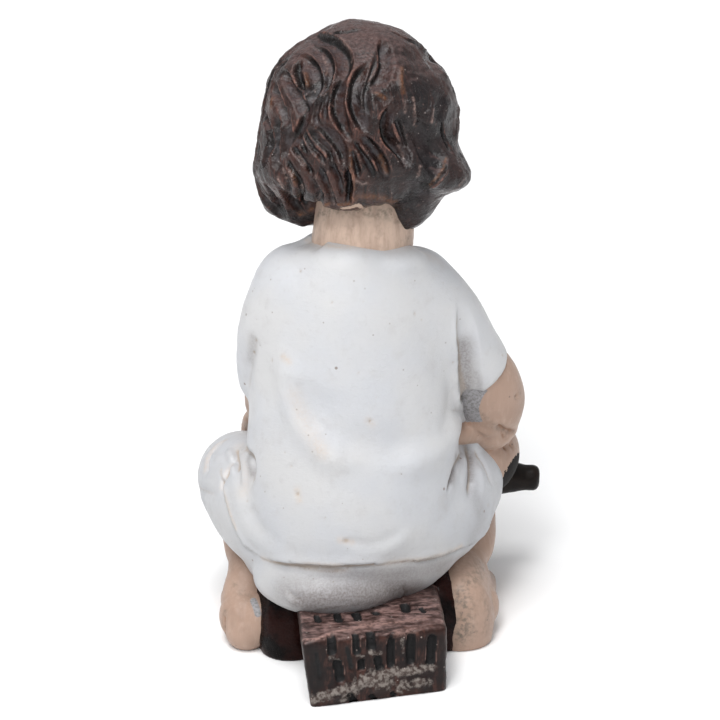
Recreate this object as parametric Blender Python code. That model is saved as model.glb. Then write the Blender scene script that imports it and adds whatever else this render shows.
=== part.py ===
"""A small painted cast of a child who sits astride a squared timber with a mallet in the right hand.

The cast is one piece. It faces +Y, its right hand is at +X, and it stands on z = 0.
Body sizes are written in hundredths of the figure's height above the seat plus the timber's height, so
that one part of the body keeps its proportion to another. Timber, mallet and voxel sizes are metres.
"""

import math

import bmesh
import bpy
import numpy as np
from mathutils import Matrix, Vector

# Driving dimensions, in metres.
SITTING_HEIGHT = 0.088
TIMBER_WIDTH = 0.0226
TIMBER_HEIGHT = 0.011
TIMBER_LENGTH = 0.054
TIMBER_BEHIND_SEAT = 0.0280
TIMBER_END_SKEW = 0.0042
TIMBER_LEFT_LEAN = 0.0014
TIMBER_YAW = 3.0
TIMBER_OFFSET = 0.0013
TIMBER_EDGE_RADIUS = 0.0008
GOUGE_WIDTH = 0.0015
GOUGE_SPACING = 0.00295
GOUGE_DEPTH = 0.0008
GOUGE_END_RADIUS = 0.0002
GOUGES = 6
HANDLE_DIAMETER = 0.0043
HANDLE_LENGTH = 0.0306
HANDLE_HEAD_TO_FIST = 0.0108
COLLAR_DIAMETER = 0.0066
COLLAR_END_SHARE = 0.98
COLLAR_LENGTH = 0.0060
COLLAR_TO_BUTT = 0.0022
COLLAR_EDGE_RADIUS = 0.0003
MALLET_HEAD_DIAMETER = 0.0078
MALLET_HEAD_LENGTH = 0.0140
MALLET_HEAD_SUNK = 0.0003
HANDLE_EDGE_RADIUS = 0.0006
MALLET_HEAD_EDGE_RADIUS = 0.0008

# The mesh that the forms are fused with, and the count of triangles that is kept.
VOXEL = 0.0007
KEPT_TRIANGLES = 8200

# One hundredth of the whole figure, the unit of every body size below, and the body's sitting height in it.
DESIGN_SITTING_SHARE = 88.0
UNIT = SITTING_HEIGHT / DESIGN_SITTING_SHARE

FRONT = Vector((0, 1, 0))
UP = Vector((0, 0, 1))

# Where the head is, how far it is turned towards the right hand, and how far it is bowed, in degrees.
HEAD_CENTRE = (1.0, 2.6, 73.5)
HEAD_TURN = 30.0
HEAD_BOW = 14.0


def above_seat(x, y, z):
    """A point of the body, with z counted from the timber's top."""
    return Vector((x * UNIT, y * UNIT, TIMBER_HEIGHT + z * UNIT))


def above_ground(x, y, z):
    """A point of a foot, with z counted from what the cast stands on."""
    return Vector((x * UNIT, y * UNIT, z * UNIT))


def station(centre, half_width, half_depth=None):
    """One cross-section of a loft: its centre and its two half sizes."""
    return (*centre, half_width * UNIT, (half_depth or half_width) * UNIT)


def through(stations, steps):
    """Rows read from a smooth curve through the stations, with this many steps between each two."""
    rows = np.array([stations[0], *stations, stations[-1]], float)
    found = []
    for a, b, c, d in zip(rows, rows[1:], rows[2:], rows[3:]):
        for t in np.arange(steps) / steps:
            bend = (2 * a - 5 * b + 4 * c - d) * t**2 + (3 * b - a - 3 * c + d) * t**3
            found.append(0.5 * (2 * b + (c - a) * t + bend))
    found.append(rows[-1])
    return np.array(found)


def new_object(name, vertices, faces):
    mesh = bpy.data.meshes.new(name)
    mesh.from_pydata([tuple(v) for v in vertices], [], faces)
    mesh.update()
    obj = bpy.data.objects.new(name, mesh)
    bpy.context.scene.collection.objects.link(obj)
    return obj


def closed_tube(name, rings):
    """A closed skin over rings of equal counts, with a point at each end."""
    count = len(rings[0])
    vertices = [p for ring in rings for p in ring]
    faces = []
    for row in range(len(rings) - 1):
        for i in range(count):
            j = (i + 1) % count
            low, high = row * count, (row + 1) * count
            faces.append((low + i, low + j, high + j, high + i))
    for ring, start, turned in ((rings[0], 0, True), (rings[-1], len(vertices) - count, False)):
        tip = len(vertices)
        vertices.append(np.mean(ring, axis=0))
        for i in range(count):
            edge = (start + i, start + (i + 1) % count)
            faces.append((*(reversed(edge) if turned else edge), tip))
    obj = new_object(name, vertices, faces)
    bm = bmesh.new()
    bm.from_mesh(obj.data)
    bmesh.ops.recalc_face_normals(bm, faces=bm.faces)
    bm.to_mesh(obj.data)
    bm.free()
    return obj


def loft(name, stations, front=FRONT, sides=28, steps=6, end_height=1.0):
    """A round-ended closed form through the stations, whose half depths lie along the front direction."""
    rows = through(stations, steps)
    centres = rows[:, :3]
    along = np.gradient(centres, axis=0)
    along /= np.linalg.norm(along, axis=1)[:, None]
    turns = np.linspace(0, 2 * math.pi, sides, endpoint=False)
    dome = np.radians((75, 50, 25))
    shrunk = []
    for angle in dome:
        out = along[0] * rows[0, 3] * end_height * math.sin(angle)
        shrunk.append((centres[0] - out, along[0], rows[0, 3:] * math.cos(angle)))
    shrunk += [(c, d, r[3:]) for c, d, r in zip(centres, along, rows)]
    for angle in dome[::-1]:
        out = along[-1] * rows[-1, 3] * end_height * math.sin(angle)
        shrunk.append((centres[-1] + out, along[-1], rows[-1, 3:] * math.cos(angle)))
    rings = []
    for centre, direction, (half_width, half_depth) in shrunk:
        side = np.cross(direction, front)
        side /= np.linalg.norm(side)
        depth = np.cross(side, direction)
        rings.append(
            centre
            + np.outer(np.cos(turns) * half_width, side)
            + np.outer(np.sin(turns) * half_depth, depth)
        )
    return closed_tube(name, rings)


def blob(name, centre, radii, turn=(0, 0, 0)):
    """An ellipsoid with its half sizes in body units, turned by three angles in degrees."""
    bm = bmesh.new()
    bmesh.ops.create_icosphere(bm, subdivisions=3, radius=1)
    size = Matrix.Diagonal([r * UNIT for r in radii] + [1])
    tilt = Matrix.Rotation(math.radians(turn[2]), 4, "Z")
    tilt @= Matrix.Rotation(math.radians(turn[1]), 4, "Y")
    tilt @= Matrix.Rotation(math.radians(turn[0]), 4, "X")
    bm.transform(Matrix.Translation(centre) @ tilt @ size)
    mesh = bpy.data.meshes.new(name)
    bm.to_mesh(mesh)
    bm.free()
    obj = bpy.data.objects.new(name, mesh)
    bpy.context.scene.collection.objects.link(obj)
    return obj


def finger(name, points, radius):
    """A finger or thumb: a slim loft of one radius, through points of the body."""
    return loft(name, [station(p, radius) for p in points], front=UP, sides=12, steps=4)


def apply_modifiers(obj):
    graph = bpy.context.evaluated_depsgraph_get()
    mesh = bpy.data.meshes.new_from_object(obj.evaluated_get(graph))
    obj.modifiers.clear()
    obj.data = mesh
    return obj


def fuse(name, objects, voxel, smoothing):
    """One closed mesh around overlapping closed forms, with the joins between them eased."""
    bm = bmesh.new()
    for obj in objects:
        bm.from_mesh(obj.data)
        bpy.data.objects.remove(obj)
    mesh = bpy.data.meshes.new(name)
    bm.to_mesh(mesh)
    bm.free()
    fused = bpy.data.objects.new(name, mesh)
    bpy.context.scene.collection.objects.link(fused)
    remesh = fused.modifiers.new("fuse", "REMESH")
    remesh.mode = "VOXEL"
    remesh.voxel_size = voxel
    ease = fused.modifiers.new("ease", "SMOOTH")
    ease.factor = 0.5
    ease.iterations = smoothing
    return apply_modifiers(fused)


def points_of(mesh):
    found = np.empty(len(mesh.vertices) * 3, np.float32)
    mesh.vertices.foreach_get("co", found)
    return found.reshape(-1, 3).astype(float)


def normals_of(mesh):
    found = np.empty(len(mesh.vertices) * 3, np.float32)
    mesh.vertex_normals.foreach_get("vector", found)
    return found.reshape(-1, 3).astype(float)


def distance_to_path(points, path):
    """How far each point is from a polyline."""
    nearest = np.full(len(points), 1e9)
    for a, b in zip(path, path[1:]):
        run = b - a
        t = np.clip((points - a) @ run / (run @ run), 0, 1)
        nearest = np.minimum(nearest, np.linalg.norm(points - a - t[:, None] * run, axis=1))
    return nearest


def press(obj, path, width, height):
    """Raises a rounded ridge of cloth along a path or, with a height below 0, presses a valley."""
    points = points_of(obj.data)
    route = through([tuple(p) for p in path], 5)
    reach = np.exp(-((distance_to_path(points, route) / (width * UNIT)) ** 2))
    moved = points + normals_of(obj.data) * (reach * height * UNIT)[:, None]
    obj.data.vertices.foreach_set("co", moved.astype(np.float32).ravel())
    obj.data.update()


def head_matrix():
    """The head's own frame: x to its right, y where the face looks, z through the crown."""
    turn = Matrix.Rotation(-math.radians(HEAD_TURN), 4, "Z")
    bow = Matrix.Rotation(-math.radians(HEAD_BOW), 4, "X")
    return Matrix.Translation(above_seat(*HEAD_CENTRE)) @ turn @ bow


def smooth_step(low, high, value):
    t = np.clip((value - low) / (high - low), 0, 1)
    return t * t * (3 - 2 * t)


# The hair, in body units, in the head's frame. Azimuth is 0 at the nape and grows towards the right ear,
# and polar is 0 at the crown. The hem is higher at the nape than at the sides, and each of its two pairs
# gives the azimuths between which it falls from one height to the other.
HAIR_HALF_WIDTH = 14.6
HAIR_CROWN = 14.9
HAIR_BELOW_NAPE = 13.9
HAIR_BELOW_SIDES = 17.9
NAPE_LEFT = (-60.0, -34.0)
NAPE_RIGHT = (66.0, 88.0)
HAIR_SQUARE_TOP = 2.1
HAIR_SQUARE_BELOW = 3.4
LOCKS = 20
LOCK_HEIGHT = 1.25
LOCK_WAVE = 0.17

# Swells of the hair, and below 0 hollows: azimuth, spread, polar, spread, and height in body units.
RIGHT_FLIP = (84.0, 30.0, 110.0, 11.0, 4.9)
LEFT_FLIP = (-62.0, 40.0, 122.0, 12.0, 1.4)
RIGHT_FULLNESS = (84.0, 40.0, 76.0, 20.0, 1.0)
RIGHT_DENT = (84.0, 40.0, 46.0, 12.0, -0.6)
LEFT_DENT = (-50.0, 50.0, 32.0, 16.0, -0.9)
HAIR_SWELLS = (RIGHT_FLIP, LEFT_FLIP, RIGHT_FULLNESS, RIGHT_DENT, LEFT_DENT)

# The opening for the face, in degrees, and how far from the head's centre the hair stays behind it.
FACE_POLAR = 104.0
FACE_HALF_WIDE = 56.0
FACE_HALF_HIGH = 58.0
FACE_DEPTH_RADIUS = 8.5


def hair_radius(azimuth, polar):
    """The hair's distance from the head's centre, at these angles in radians."""
    below = np.cos(polar) < 0
    square = np.where(below, HAIR_SQUARE_BELOW, HAIR_SQUARE_TOP)
    degrees = np.degrees(azimuth)
    towards_nape = smooth_step(*NAPE_LEFT, degrees) * (1 - smooth_step(*NAPE_RIGHT, degrees))
    hem = HAIR_BELOW_SIDES + (HAIR_BELOW_NAPE - HAIR_BELOW_SIDES) * towards_nape
    tall = np.where(below, hem, HAIR_CROWN)
    radius = (
        (np.sin(polar) / HAIR_HALF_WIDTH) ** square + (np.abs(np.cos(polar)) / tall) ** square
    ) ** (-1 / square)
    for towards, spread, lowered, tallness, height in HAIR_SWELLS:
        around = np.exp(-(((degrees - towards) / spread) ** 2))
        down = np.exp(-(((np.degrees(polar) - lowered) / tallness) ** 2))
        radius = radius + height * around * down
    wave = LOCK_WAVE * np.sin(3.4 * polar + 1.1 * np.sin(azimuth * 2))
    lock = np.abs(np.sin(0.5 * LOCKS * (azimuth + wave))) ** 0.7
    strength = smooth_step(0.25, 0.9, polar) * (1 - smooth_step(2.3, 2.6, polar))
    radius = radius + LOCK_HEIGHT * (lock - 0.6) * strength
    wide = (180 - np.abs(degrees)) / FACE_HALF_WIDE
    high = (np.degrees(polar) - FACE_POLAR) / FACE_HALF_HIGH
    face = 1 - smooth_step(0.86, 1.08, np.hypot(wide, high))
    return radius * (1 - face) + FACE_DEPTH_RADIUS * face


def hair(rows=72, columns=160):
    """The bobbed hair, as a closed skin around the head that leaves the face open."""
    polar = np.linspace(math.radians(4), math.radians(158), rows)
    azimuth = np.linspace(-math.pi, math.pi, columns, endpoint=False)
    matrix = head_matrix()
    rings = []
    for angle in polar:
        radius = hair_radius(azimuth, np.full(columns, angle)) * UNIT
        x = radius * np.sin(angle) * np.sin(azimuth)
        y = -radius * np.sin(angle) * np.cos(azimuth)
        z = radius * np.cos(angle)
        rings.append([np.array(matrix @ Vector(place)) for place in zip(x, y, z)])
    return closed_tube("hair_form", rings)


def head():
    """A calm, general child's head, in the head's frame."""
    matrix = head_matrix()

    def at(x, y, z):
        return matrix @ Vector((x * UNIT, y * UNIT, z * UNIT))

    tilt = (-HEAD_BOW, 0, -HEAD_TURN)
    forms = [
        blob("skull", at(0, 0.5, 0), (11.6, 12.2, 12.2), tilt),
        blob("jaw", at(0, 3.4, -7.2), (8.8, 8.4, 7.2), tilt),
        blob("chin", at(0, 9.0, -12.0), (3.0, 2.6, 2.4), tilt),
        blob("nose", at(0, 12.3, -4.6), (1.5, 1.7, 1.3), tilt),
        blob("nose_bridge", at(0, 11.5, -2.2), (1.1, 1.4, 3.0), tilt),
        blob("lips", at(0, 10.6, -8.4), (2.6, 1.4, 1.2), tilt),
        blob("forehead", at(0, 8.2, 3.4), (6.4, 4.0, 4.4), tilt),
    ]
    for side in (-1, 1):
        forms.append(blob("cheek", at(side * 4.9, 7.8, -6.2), (3.8, 3.6, 3.8), tilt))
        forms.append(blob("eyelid", at(side * 4.3, 10.2, -1.9), (2.0, 1.4, 1.2), tilt))
    return forms


def trunk():
    """The tunic over the body, from its neckline to the seat, and the neck that rises from it."""
    return [
        loft(
            "body_of_tunic",
            [
                station(above_seat(0.0, -2.6, -2.0), 13.6, 13.0),
                station(above_seat(-0.2, -2.4, 1.0), 16.8, 15.8),
                station(above_seat(-0.4, -2.0, 5.0), 18.2, 16.8),
                station(above_seat(-0.4, -2.0, 9.5), 18.2, 17.0),
                station(above_seat(-0.4, -1.8, 15.0), 17.6, 16.2),
                station(above_seat(-0.4, -1.6, 23.0), 16.6, 14.2),
                station(above_seat(-0.4, -1.5, 31.0), 16.0, 12.8),
                station(above_seat(-0.3, -1.5, 39.0), 15.4, 11.8),
                station(above_seat(0.0, -1.6, 46.2), 14.8, 10.6),
                station(above_seat(0.3, -1.4, 51.2), 12.2, 9.0),
                station(above_seat(0.7, -1.0, 53.8), 8.6, 7.6),
            ],
            sides=72,
            end_height=0.25,
        ),
        loft(
            "neck",
            [
                station(above_seat(0.8, -1.0, 50.0), 8.2, 7.0),
                station(above_seat(0.9, -0.6, 56.0), 7.4, 6.6),
                station(above_seat(1.3, 0.6, 62.0), 6.9, 6.6),
                station(above_seat(1.6, 2.0, 68.0), 6.8, 6.8),
            ],
        ),
    ]


def right_arm():
    """The arm that leans on the right knee, its sleeve, and the fist around the mallet's handle."""
    forms = [
        loft(
            "right_sleeve",
            [
                station(above_seat(9.3, -1.4, 45.9), 7.5),
                station(above_seat(13.4, -1.0, 41.4), 7.0),
                station(above_seat(16.4, -0.2, 36.2), 6.5),
                station(above_seat(18.9, 0.8, 31.8), 6.2),
            ],
        ),
        loft(
            "right_upper_arm",
            [
                station(above_seat(16.0, -0.5, 38.0), 5.2),
                station(above_seat(20.4, 1.6, 30.0), 5.8),
                station(above_seat(22.3, 3.0, 25.2), 5.7),
                station(above_seat(22.8, 4.2, 20.8), 4.4),
            ],
        ),
        loft(
            "right_forearm",
            [
                station(above_seat(22.6, 4.0, 20.6), 4.1),
                station(above_seat(20.2, 9.6, 20.8), 3.9),
                station(above_seat(16.8, 14.6, 17.4), 3.4),
                station(above_seat(14.4, 17.6, 13.0), 2.6),
            ],
        ),
        blob("right_palm", FIST + UP * 1.6 * UNIT, (3.3, 3.0, 3.2)),
        loft(
            "right_underarm_cloth",
            [
                station(above_seat(12.6, -2.0, 36.0), 4.4, 3.4),
                station(above_seat(15.0, 0.4, 30.0), 5.0, 2.8),
                station(above_seat(16.6, 2.2, 24.0), 4.6, 2.6),
                station(above_seat(17.0, 3.4, 18.0), 4.6, 3.0),
            ],
        ),
    ]
    for row in range(4):
        place = FIST + HANDLE_AXIS * (row - 1.5) * 1.75 * UNIT
        knuckle = place - HANDLE_ACROSS * 3.0 * UNIT + HANDLE_OUT * 1.6 * UNIT
        bend = place + HANDLE_ACROSS * 0.4 * UNIT + HANDLE_OUT * 3.7 * UNIT
        tip = place + HANDLE_ACROSS * 3.4 * UNIT + HANDLE_OUT * 1.2 * UNIT
        forms.append(finger(f"right_finger_{row}", [knuckle, bend, tip], 1.15))
    return forms


def left_arm():
    """The arm that rests on the left thigh, with an open hand over the knee."""
    forms = [
        loft(
            "left_sleeve",
            [
                station(above_seat(-8.8, -1.4, 47.2), 7.5),
                station(above_seat(-11.4, -0.6, 41.4), 6.8),
                station(above_seat(-12.3, 1.2, 35.0), 6.1),
                station(above_seat(-12.0, 3.4, 30.6), 5.7),
            ],
        ),
        loft(
            "left_upper_arm",
            [
                station(above_seat(-12.6, 1.0, 38.0), 5.2),
                station(above_seat(-12.8, 4.2, 31.0), 4.9),
                station(above_seat(-12.6, 7.2, 25.6), 4.0),
            ],
        ),
        loft(
            "left_forearm",
            [
                station(above_seat(-12.6, 7.2, 25.2), 4.0),
                station(above_seat(-12.2, 10.6, 22.8), 3.7),
                station(above_seat(-12.0, 14.0, 20.9), 2.8),
            ],
        ),
        blob("left_palm", above_seat(-12.2, 16.2, 19.2), (3.4, 3.6, 1.9), (-32, 0, 4)),
    ]
    for row in range(4):
        x = -14.9 + row * 1.75
        reach = 1.0 if row in (1, 2) else 0.0
        points = [
            above_seat(x, 17.0, 18.2),
            above_seat(x - 0.1, 19.6 + 0.4 * reach, 15.8),
            above_seat(x - 0.1, 20.9 + 0.4 * reach, 13.0 - 0.6 * reach),
        ]
        forms.append(finger(f"left_finger_{row}", points, 1.1))
    thumb = [above_seat(-9.6, 14.8, 20.0), above_seat(-8.0, 16.4, 18.8), above_seat(-7.4, 18.0, 17.2)]
    forms.append(finger("left_thumb", thumb, 1.15))
    return forms


def legs():
    """The draped thighs, the right knee that comes bare of its hem, and the calves down to the heels."""
    forms = [
        loft(
            "left_thigh_cloth",
            [
                station(above_seat(-7.0, -7.0, 8.0), 9.4),
                station(above_seat(-12.6, 0.0, 9.6), 9.6),
                station(above_seat(-15.8, 7.0, 10.8), 8.4),
                station(above_seat(-16.6, 11.4, 10.4), 7.4),
            ],
            front=UP,
        ),
        loft(
            "right_thigh_cloth",
            [
                station(above_seat(7.0, -7.0, 8.4), 9.4),
                station(above_seat(12.8, -1.0, 9.4), 9.4),
                station(above_seat(16.2, 4.2, 10.2), 8.5),
                station(above_seat(17.2, 6.8, 10.4), 8.1),
            ],
            front=UP,
        ),
        blob("cloth_between_knees", above_seat(3.6, 9.6, 4.4), (13.0, 8.8, 6.6)),
        blob("cloth_over_timber", above_seat(-4.6, -9.4, 2.2), (12.6, 11.2, 5.4)),
        loft(
            "right_knee",
            [
                station(above_seat(15.4, 4.0, 10.4), 6.8),
                station(above_seat(20.8, 9.8, 12.8), 7.3),
                station(above_seat(21.4, 12.2, 11.6), 6.9),
            ],
            front=UP,
        ),
    ]
    sides = (("left", -1, 15.4, 6.4, 18.0, 16.8, 16.2), ("right", 1, 18.7, 9.0, 18.6, 19.8, 20.6))
    for name, side, knee_x, knee_z, heel_x, ball_x, toe_x in sides:
        forms.append(
            loft(
                f"{name}_calf",
                [
                    station(above_seat(side * knee_x, 10.6, knee_z), 5.6),
                    station(above_seat(side * (knee_x + 0.2), 4.0, 0.6), 4.8),
                    station(above_ground(side * heel_x, -2.6, 6.6), 3.5),
                    station(above_ground(side * heel_x, -5.2, 4.2), 3.5),
                ],
            )
        )
        forms.append(
            loft(
                f"{name}_foot",
                [
                    station(above_ground(side * heel_x, -6.6, 2.6), 3.5, 3.4),
                    station(above_ground(side * (heel_x + ball_x) / 2, -1.0, 2.9), 3.7, 3.8),
                    station(above_ground(side * ball_x, 5.0, 2.3), 4.3, 3.0),
                    station(above_ground(side * toe_x, 9.0, 1.7), 4.1, 2.2),
                ],
                front=UP,
            )
        )
        for toe in range(5):
            x = side * (toe_x - 3.2 + 1.65 * toe)
            y = 12.6 - 0.25 * toe**1.6
            size = 1.55 if toe == 0 else 1.15 - 0.05 * toe
            forms.append(blob(f"{name}_toe_{toe}", above_ground(x, y, size * 0.8), (size, size * 1.5, size)))
    return forms


def dark_filling():
    """The mass that fills the hollow between the heels, the thighs and the timber, as a mould needs."""
    return [
        loft(
            f"filling_{side}",
            [
                station(above_ground(side * 12.6, -8.6, 3.2), 5.4, 8.6),
                station(above_ground(side * 12.8, -2.0, 3.6), 6.0, 9.6),
                station(above_ground(side * 13.0, 6.0, 3.6), 5.6, 9.0),
            ],
            front=UP,
        )
        for side in (-1, 1)
    ]


# The mallet stands on the timber. Its handle runs from its head to the butt beyond the right knee.
MALLET_HEAD = above_seat(2.6, 19.4, 0) + UP * (MALLET_HEAD_LENGTH / 2 - MALLET_HEAD_SUNK)
HANDLE_AXIS = Vector((0.99, -0.08, -0.06)).normalized()
HANDLE_ACROSS = FRONT.cross(HANDLE_AXIS).normalized()
HANDLE_OUT = HANDLE_AXIS.cross(HANDLE_ACROSS)
FIST = MALLET_HEAD + HANDLE_AXIS * HANDLE_HEAD_TO_FIST


def round_bar(name, start, end, diameter, edge, end_diameter=None, sides=24):
    """A bevelled cylinder between two points, or a cone where the end has a diameter of its own."""
    bm = bmesh.new()
    run = end - start
    low, high = diameter / 2, (end_diameter or diameter) / 2
    bmesh.ops.create_cone(bm, cap_ends=True, segments=sides, radius1=low, radius2=high, depth=run.length)
    rims = [e for e in bm.edges if abs(abs(e.verts[0].co.z - e.verts[1].co.z)) < edge]
    bmesh.ops.bevel(bm, geom=rims, offset=edge, segments=2, affect="EDGES", profile=0.5)
    bm.transform(Matrix.Translation((start + end) / 2) @ run.to_track_quat("Z", "Y").to_matrix().to_4x4())
    mesh = bpy.data.meshes.new(name)
    bm.to_mesh(mesh)
    bm.free()
    obj = bpy.data.objects.new(name, mesh)
    bpy.context.scene.collection.objects.link(obj)
    return obj


def mallet():
    """The upright head that stands on the timber, and the handle, with the thick end of its butt."""
    butt = MALLET_HEAD + HANDLE_AXIS * HANDLE_LENGTH
    half = UP * MALLET_HEAD_LENGTH / 2
    low, high = MALLET_HEAD - half, MALLET_HEAD + half
    thick = MALLET_HEAD + HANDLE_AXIS * (HANDLE_LENGTH - COLLAR_TO_BUTT - COLLAR_LENGTH)
    thin = thick + HANDLE_AXIS * COLLAR_LENGTH
    collar_end = HANDLE_DIAMETER * COLLAR_END_SHARE
    return [
        round_bar("mallet_handle", MALLET_HEAD, butt, HANDLE_DIAMETER, HANDLE_EDGE_RADIUS),
        round_bar("handle_collar", thick, thin, COLLAR_DIAMETER, COLLAR_EDGE_RADIUS, collar_end),
        round_bar("mallet_head", low, high, MALLET_HEAD_DIAMETER, MALLET_HEAD_EDGE_RADIUS),
    ]


def box(name, low, high):
    bm = bmesh.new()
    bmesh.ops.create_cube(bm, size=1)
    low, high = Vector(low), Vector(high)
    bm.transform(Matrix.Translation((low + high) / 2) @ Matrix.Diagonal([*(high - low), 1]))
    mesh = bpy.data.meshes.new(name)
    bm.to_mesh(mesh)
    bm.free()
    obj = bpy.data.objects.new(name, mesh)
    bpy.context.scene.collection.objects.link(obj)
    return obj


def helper(obj):
    """A form that only a Boolean uses."""
    obj.hide_render = True
    obj.display_type = "WIRE"
    return obj


def boolean(obj, other, operation):
    cut = obj.modifiers.new(other.name, "BOOLEAN")
    cut.operation = operation
    cut.solver = "EXACT"
    cut.object = helper(other)


def timber_place(x, y, z):
    """Where a point of a plain squared timber comes, with y counted from the rear end.

    The rear end is cut askew, the left side leans in at its foot, and the whole lies at a small yaw a little
    to the right of the figure's middle.
    """
    askew = TIMBER_END_SKEW * x / TIMBER_WIDTH * (1 - y / TIMBER_LENGTH)
    lean = TIMBER_LEFT_LEAN * (0.5 - x / TIMBER_WIDTH) * (1 - z / TIMBER_HEIGHT)
    yaw = Matrix.Rotation(-math.radians(TIMBER_YAW), 4, "Z")
    return yaw @ Vector((x + lean + TIMBER_OFFSET, y + askew - TIMBER_BEHIND_SEAT, z))


def timber():
    """The squared timber, with eased edges and the gouge marks on its rear end."""
    block = box(
        "timber_form",
        (-TIMBER_WIDTH / 2, 0, -TIMBER_EDGE_RADIUS),
        (TIMBER_WIDTH / 2, TIMBER_LENGTH, TIMBER_HEIGHT),
    )
    for vertex in block.data.vertices:
        vertex.co = timber_place(*vertex.co)
    ease = block.modifiers.new("eased_edges", "BEVEL")
    ease.width = TIMBER_EDGE_RADIUS
    ease.segments = 2
    for place in range(GOUGES):
        x = (place - (GOUGES - 1) / 2) * GOUGE_SPACING
        sunk = GOUGE_DEPTH - GOUGE_WIDTH / 2
        foot = timber_place(x, sunk, TIMBER_HEIGHT * (0.38 + 0.06 * (place % 2)))
        top = timber_place(x, sunk, TIMBER_HEIGHT * (0.92 - 0.03 * (place % 3)))
        cutter = round_bar(f"gouge_{place}", foot, top, GOUGE_WIDTH, GOUGE_END_RADIUS, sides=10)
        boolean(block, cutter, "DIFFERENCE")
    return block


def tunic_folds(cloth):
    """The swag across the back, the roll above the seat and the creases where the thighs leave it."""
    swag = [(-12.4, -11, 29), (-10.4, -13.4, 22), (-6, -15.4, 17.6), (2, -16.6, 16.6), (9, -15.4, 18)]
    roll = [(-20, -4, 12.6), (-15, -13, 10), (-6, -18, 9.2), (6, -18, 9.4), (15, -13, 10.6)]
    under = [(-16, -12, 6.6), (-9, -17.6, 5.8), (0, -18.8, 5.2), (9, -17.6, 5.8), (16, -11, 7)]
    press(cloth, [above_seat(*p) for p in swag], 2.6, 0.7)
    press(cloth, [above_seat(*p) for p in roll], 2.2, 0.9)
    press(cloth, [above_seat(*p) for p in under], 1.1, -1.0)
    for side, start in ((-1, -15.6), (1, 15.0)):
        for place in range(3):
            x = start + side * place * 1.9
            path = [
                (x, -9 + 4 * place, 17),
                (x + side * 0.8, -7 + 4 * place, 12),
                (x, -8 + 3 * place, 8),
            ]
            press(cloth, [above_seat(*p) for p in path], 0.9, -0.7)


def cast():
    """The whole cast as one solid, standing on a flat underside."""
    forms = trunk() + right_arm() + left_arm() + legs() + dark_filling() + head() + [hair()]
    figure = fuse("figurine", forms, VOXEL, 3)
    tunic_folds(figure)
    fewer = figure.modifiers.new("fewer_faces", "DECIMATE")
    fewer.ratio = KEPT_TRIANGLES / (2 * len(figure.data.polygons))
    apply_modifiers(figure)
    boolean(figure, timber(), "UNION")
    for piece in mallet():
        boolean(figure, piece, "UNION")
    reach = 2 * (TIMBER_LENGTH + SITTING_HEIGHT)
    boolean(figure, box("ground_cutter", (-reach, -reach, -reach), (reach, reach, 0)), "DIFFERENCE")
    return figure


def paint(obj):
    """A plain colour for the cast."""
    material = bpy.data.materials.new("painted_cast")
    material.use_nodes = True
    shader = material.node_tree.nodes["Principled BSDF"]
    shader.inputs["Base Color"].default_value = (0.78, 0.78, 0.77, 1)
    shader.inputs["Roughness"].default_value = 0.55
    shader.inputs["Metallic"].default_value = 0.0
    obj.data.materials.clear()
    obj.data.materials.append(material)


def main():
    for obj in list(bpy.data.objects):
        bpy.data.objects.remove(obj)
    paint(cast())


main()
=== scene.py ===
"""The painted cast of a seated child, dressed for a product view from behind.

All lengths in the shapes below are millimetres in the part's frame: the figure faces +Y, its right hand is
at +X and it stands on z = 0. Paths marked as seen are given as places in the 720 by 720 view of the camera,
and are laid on the surface from there.
"""

import math

import bmesh
import bpy
import numpy as np
from mathutils import Matrix, Vector, noise
from mathutils.bvhtree import BVHTree


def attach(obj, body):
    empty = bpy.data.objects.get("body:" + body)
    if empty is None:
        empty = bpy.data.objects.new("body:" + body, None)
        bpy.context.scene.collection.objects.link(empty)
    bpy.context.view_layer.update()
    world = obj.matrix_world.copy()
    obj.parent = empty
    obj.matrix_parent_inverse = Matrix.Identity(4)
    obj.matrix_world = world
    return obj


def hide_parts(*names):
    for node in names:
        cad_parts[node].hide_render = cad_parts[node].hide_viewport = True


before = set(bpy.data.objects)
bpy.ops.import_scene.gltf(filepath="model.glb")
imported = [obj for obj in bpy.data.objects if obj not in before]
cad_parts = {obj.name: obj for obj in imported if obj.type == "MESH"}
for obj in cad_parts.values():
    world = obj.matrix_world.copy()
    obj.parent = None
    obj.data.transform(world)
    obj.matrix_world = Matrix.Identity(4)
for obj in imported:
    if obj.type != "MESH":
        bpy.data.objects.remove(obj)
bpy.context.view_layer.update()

MM = 0.001
SEAT = 11.0
FRONT = Vector((0, 1, 0))
UP = Vector((0, 0, 1))

# The camera: behind the figure, a little to its left and above.
VIEW = 720
AZIMUTH, ELEVATION, DISTANCE = -7.0, 22.0, 600.0
FOCAL_PIXELS = 3818.0
ORBIT = Vector((0, 0, 48))
AIM = Vector((0.94, -1.01, 45.8))


def towards(azimuth, elevation):
    """The direction of the camera or a lamp, from the figure's back at azimuth 0."""
    a, e = math.radians(azimuth), math.radians(elevation)
    return Vector((math.sin(a) * math.cos(e), -math.cos(a) * math.cos(e), math.sin(e)))


EYE = ORBIT + towards(AZIMUTH, ELEVATION) * DISTANCE
TURN = (AIM - EYE).to_track_quat("-Z", "Y")


def seen(tree, u, v):
    """The place of the surface that the camera sees at this place of the view."""
    ray = TURN @ Vector(((u - VIEW / 2) / FOCAL_PIXELS, (VIEW / 2 - v) / FOCAL_PIXELS, -1))
    return tree.ray_cast(EYE, ray.normalized())[0]


# Mesh tools.


def seat(x, y, z):
    return Vector((x, y, SEAT + z))


def ground(x, y, z):
    return Vector((x, y, z))


def station(centre, half_width, half_depth=None):
    return (*centre, half_width, half_depth or half_width)


def on_seat(*rows):
    """Stations from places above the seat, half widths and, where they differ, half depths."""
    return [station(seat(*row[:3]), *row[3:]) for row in rows]


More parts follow.
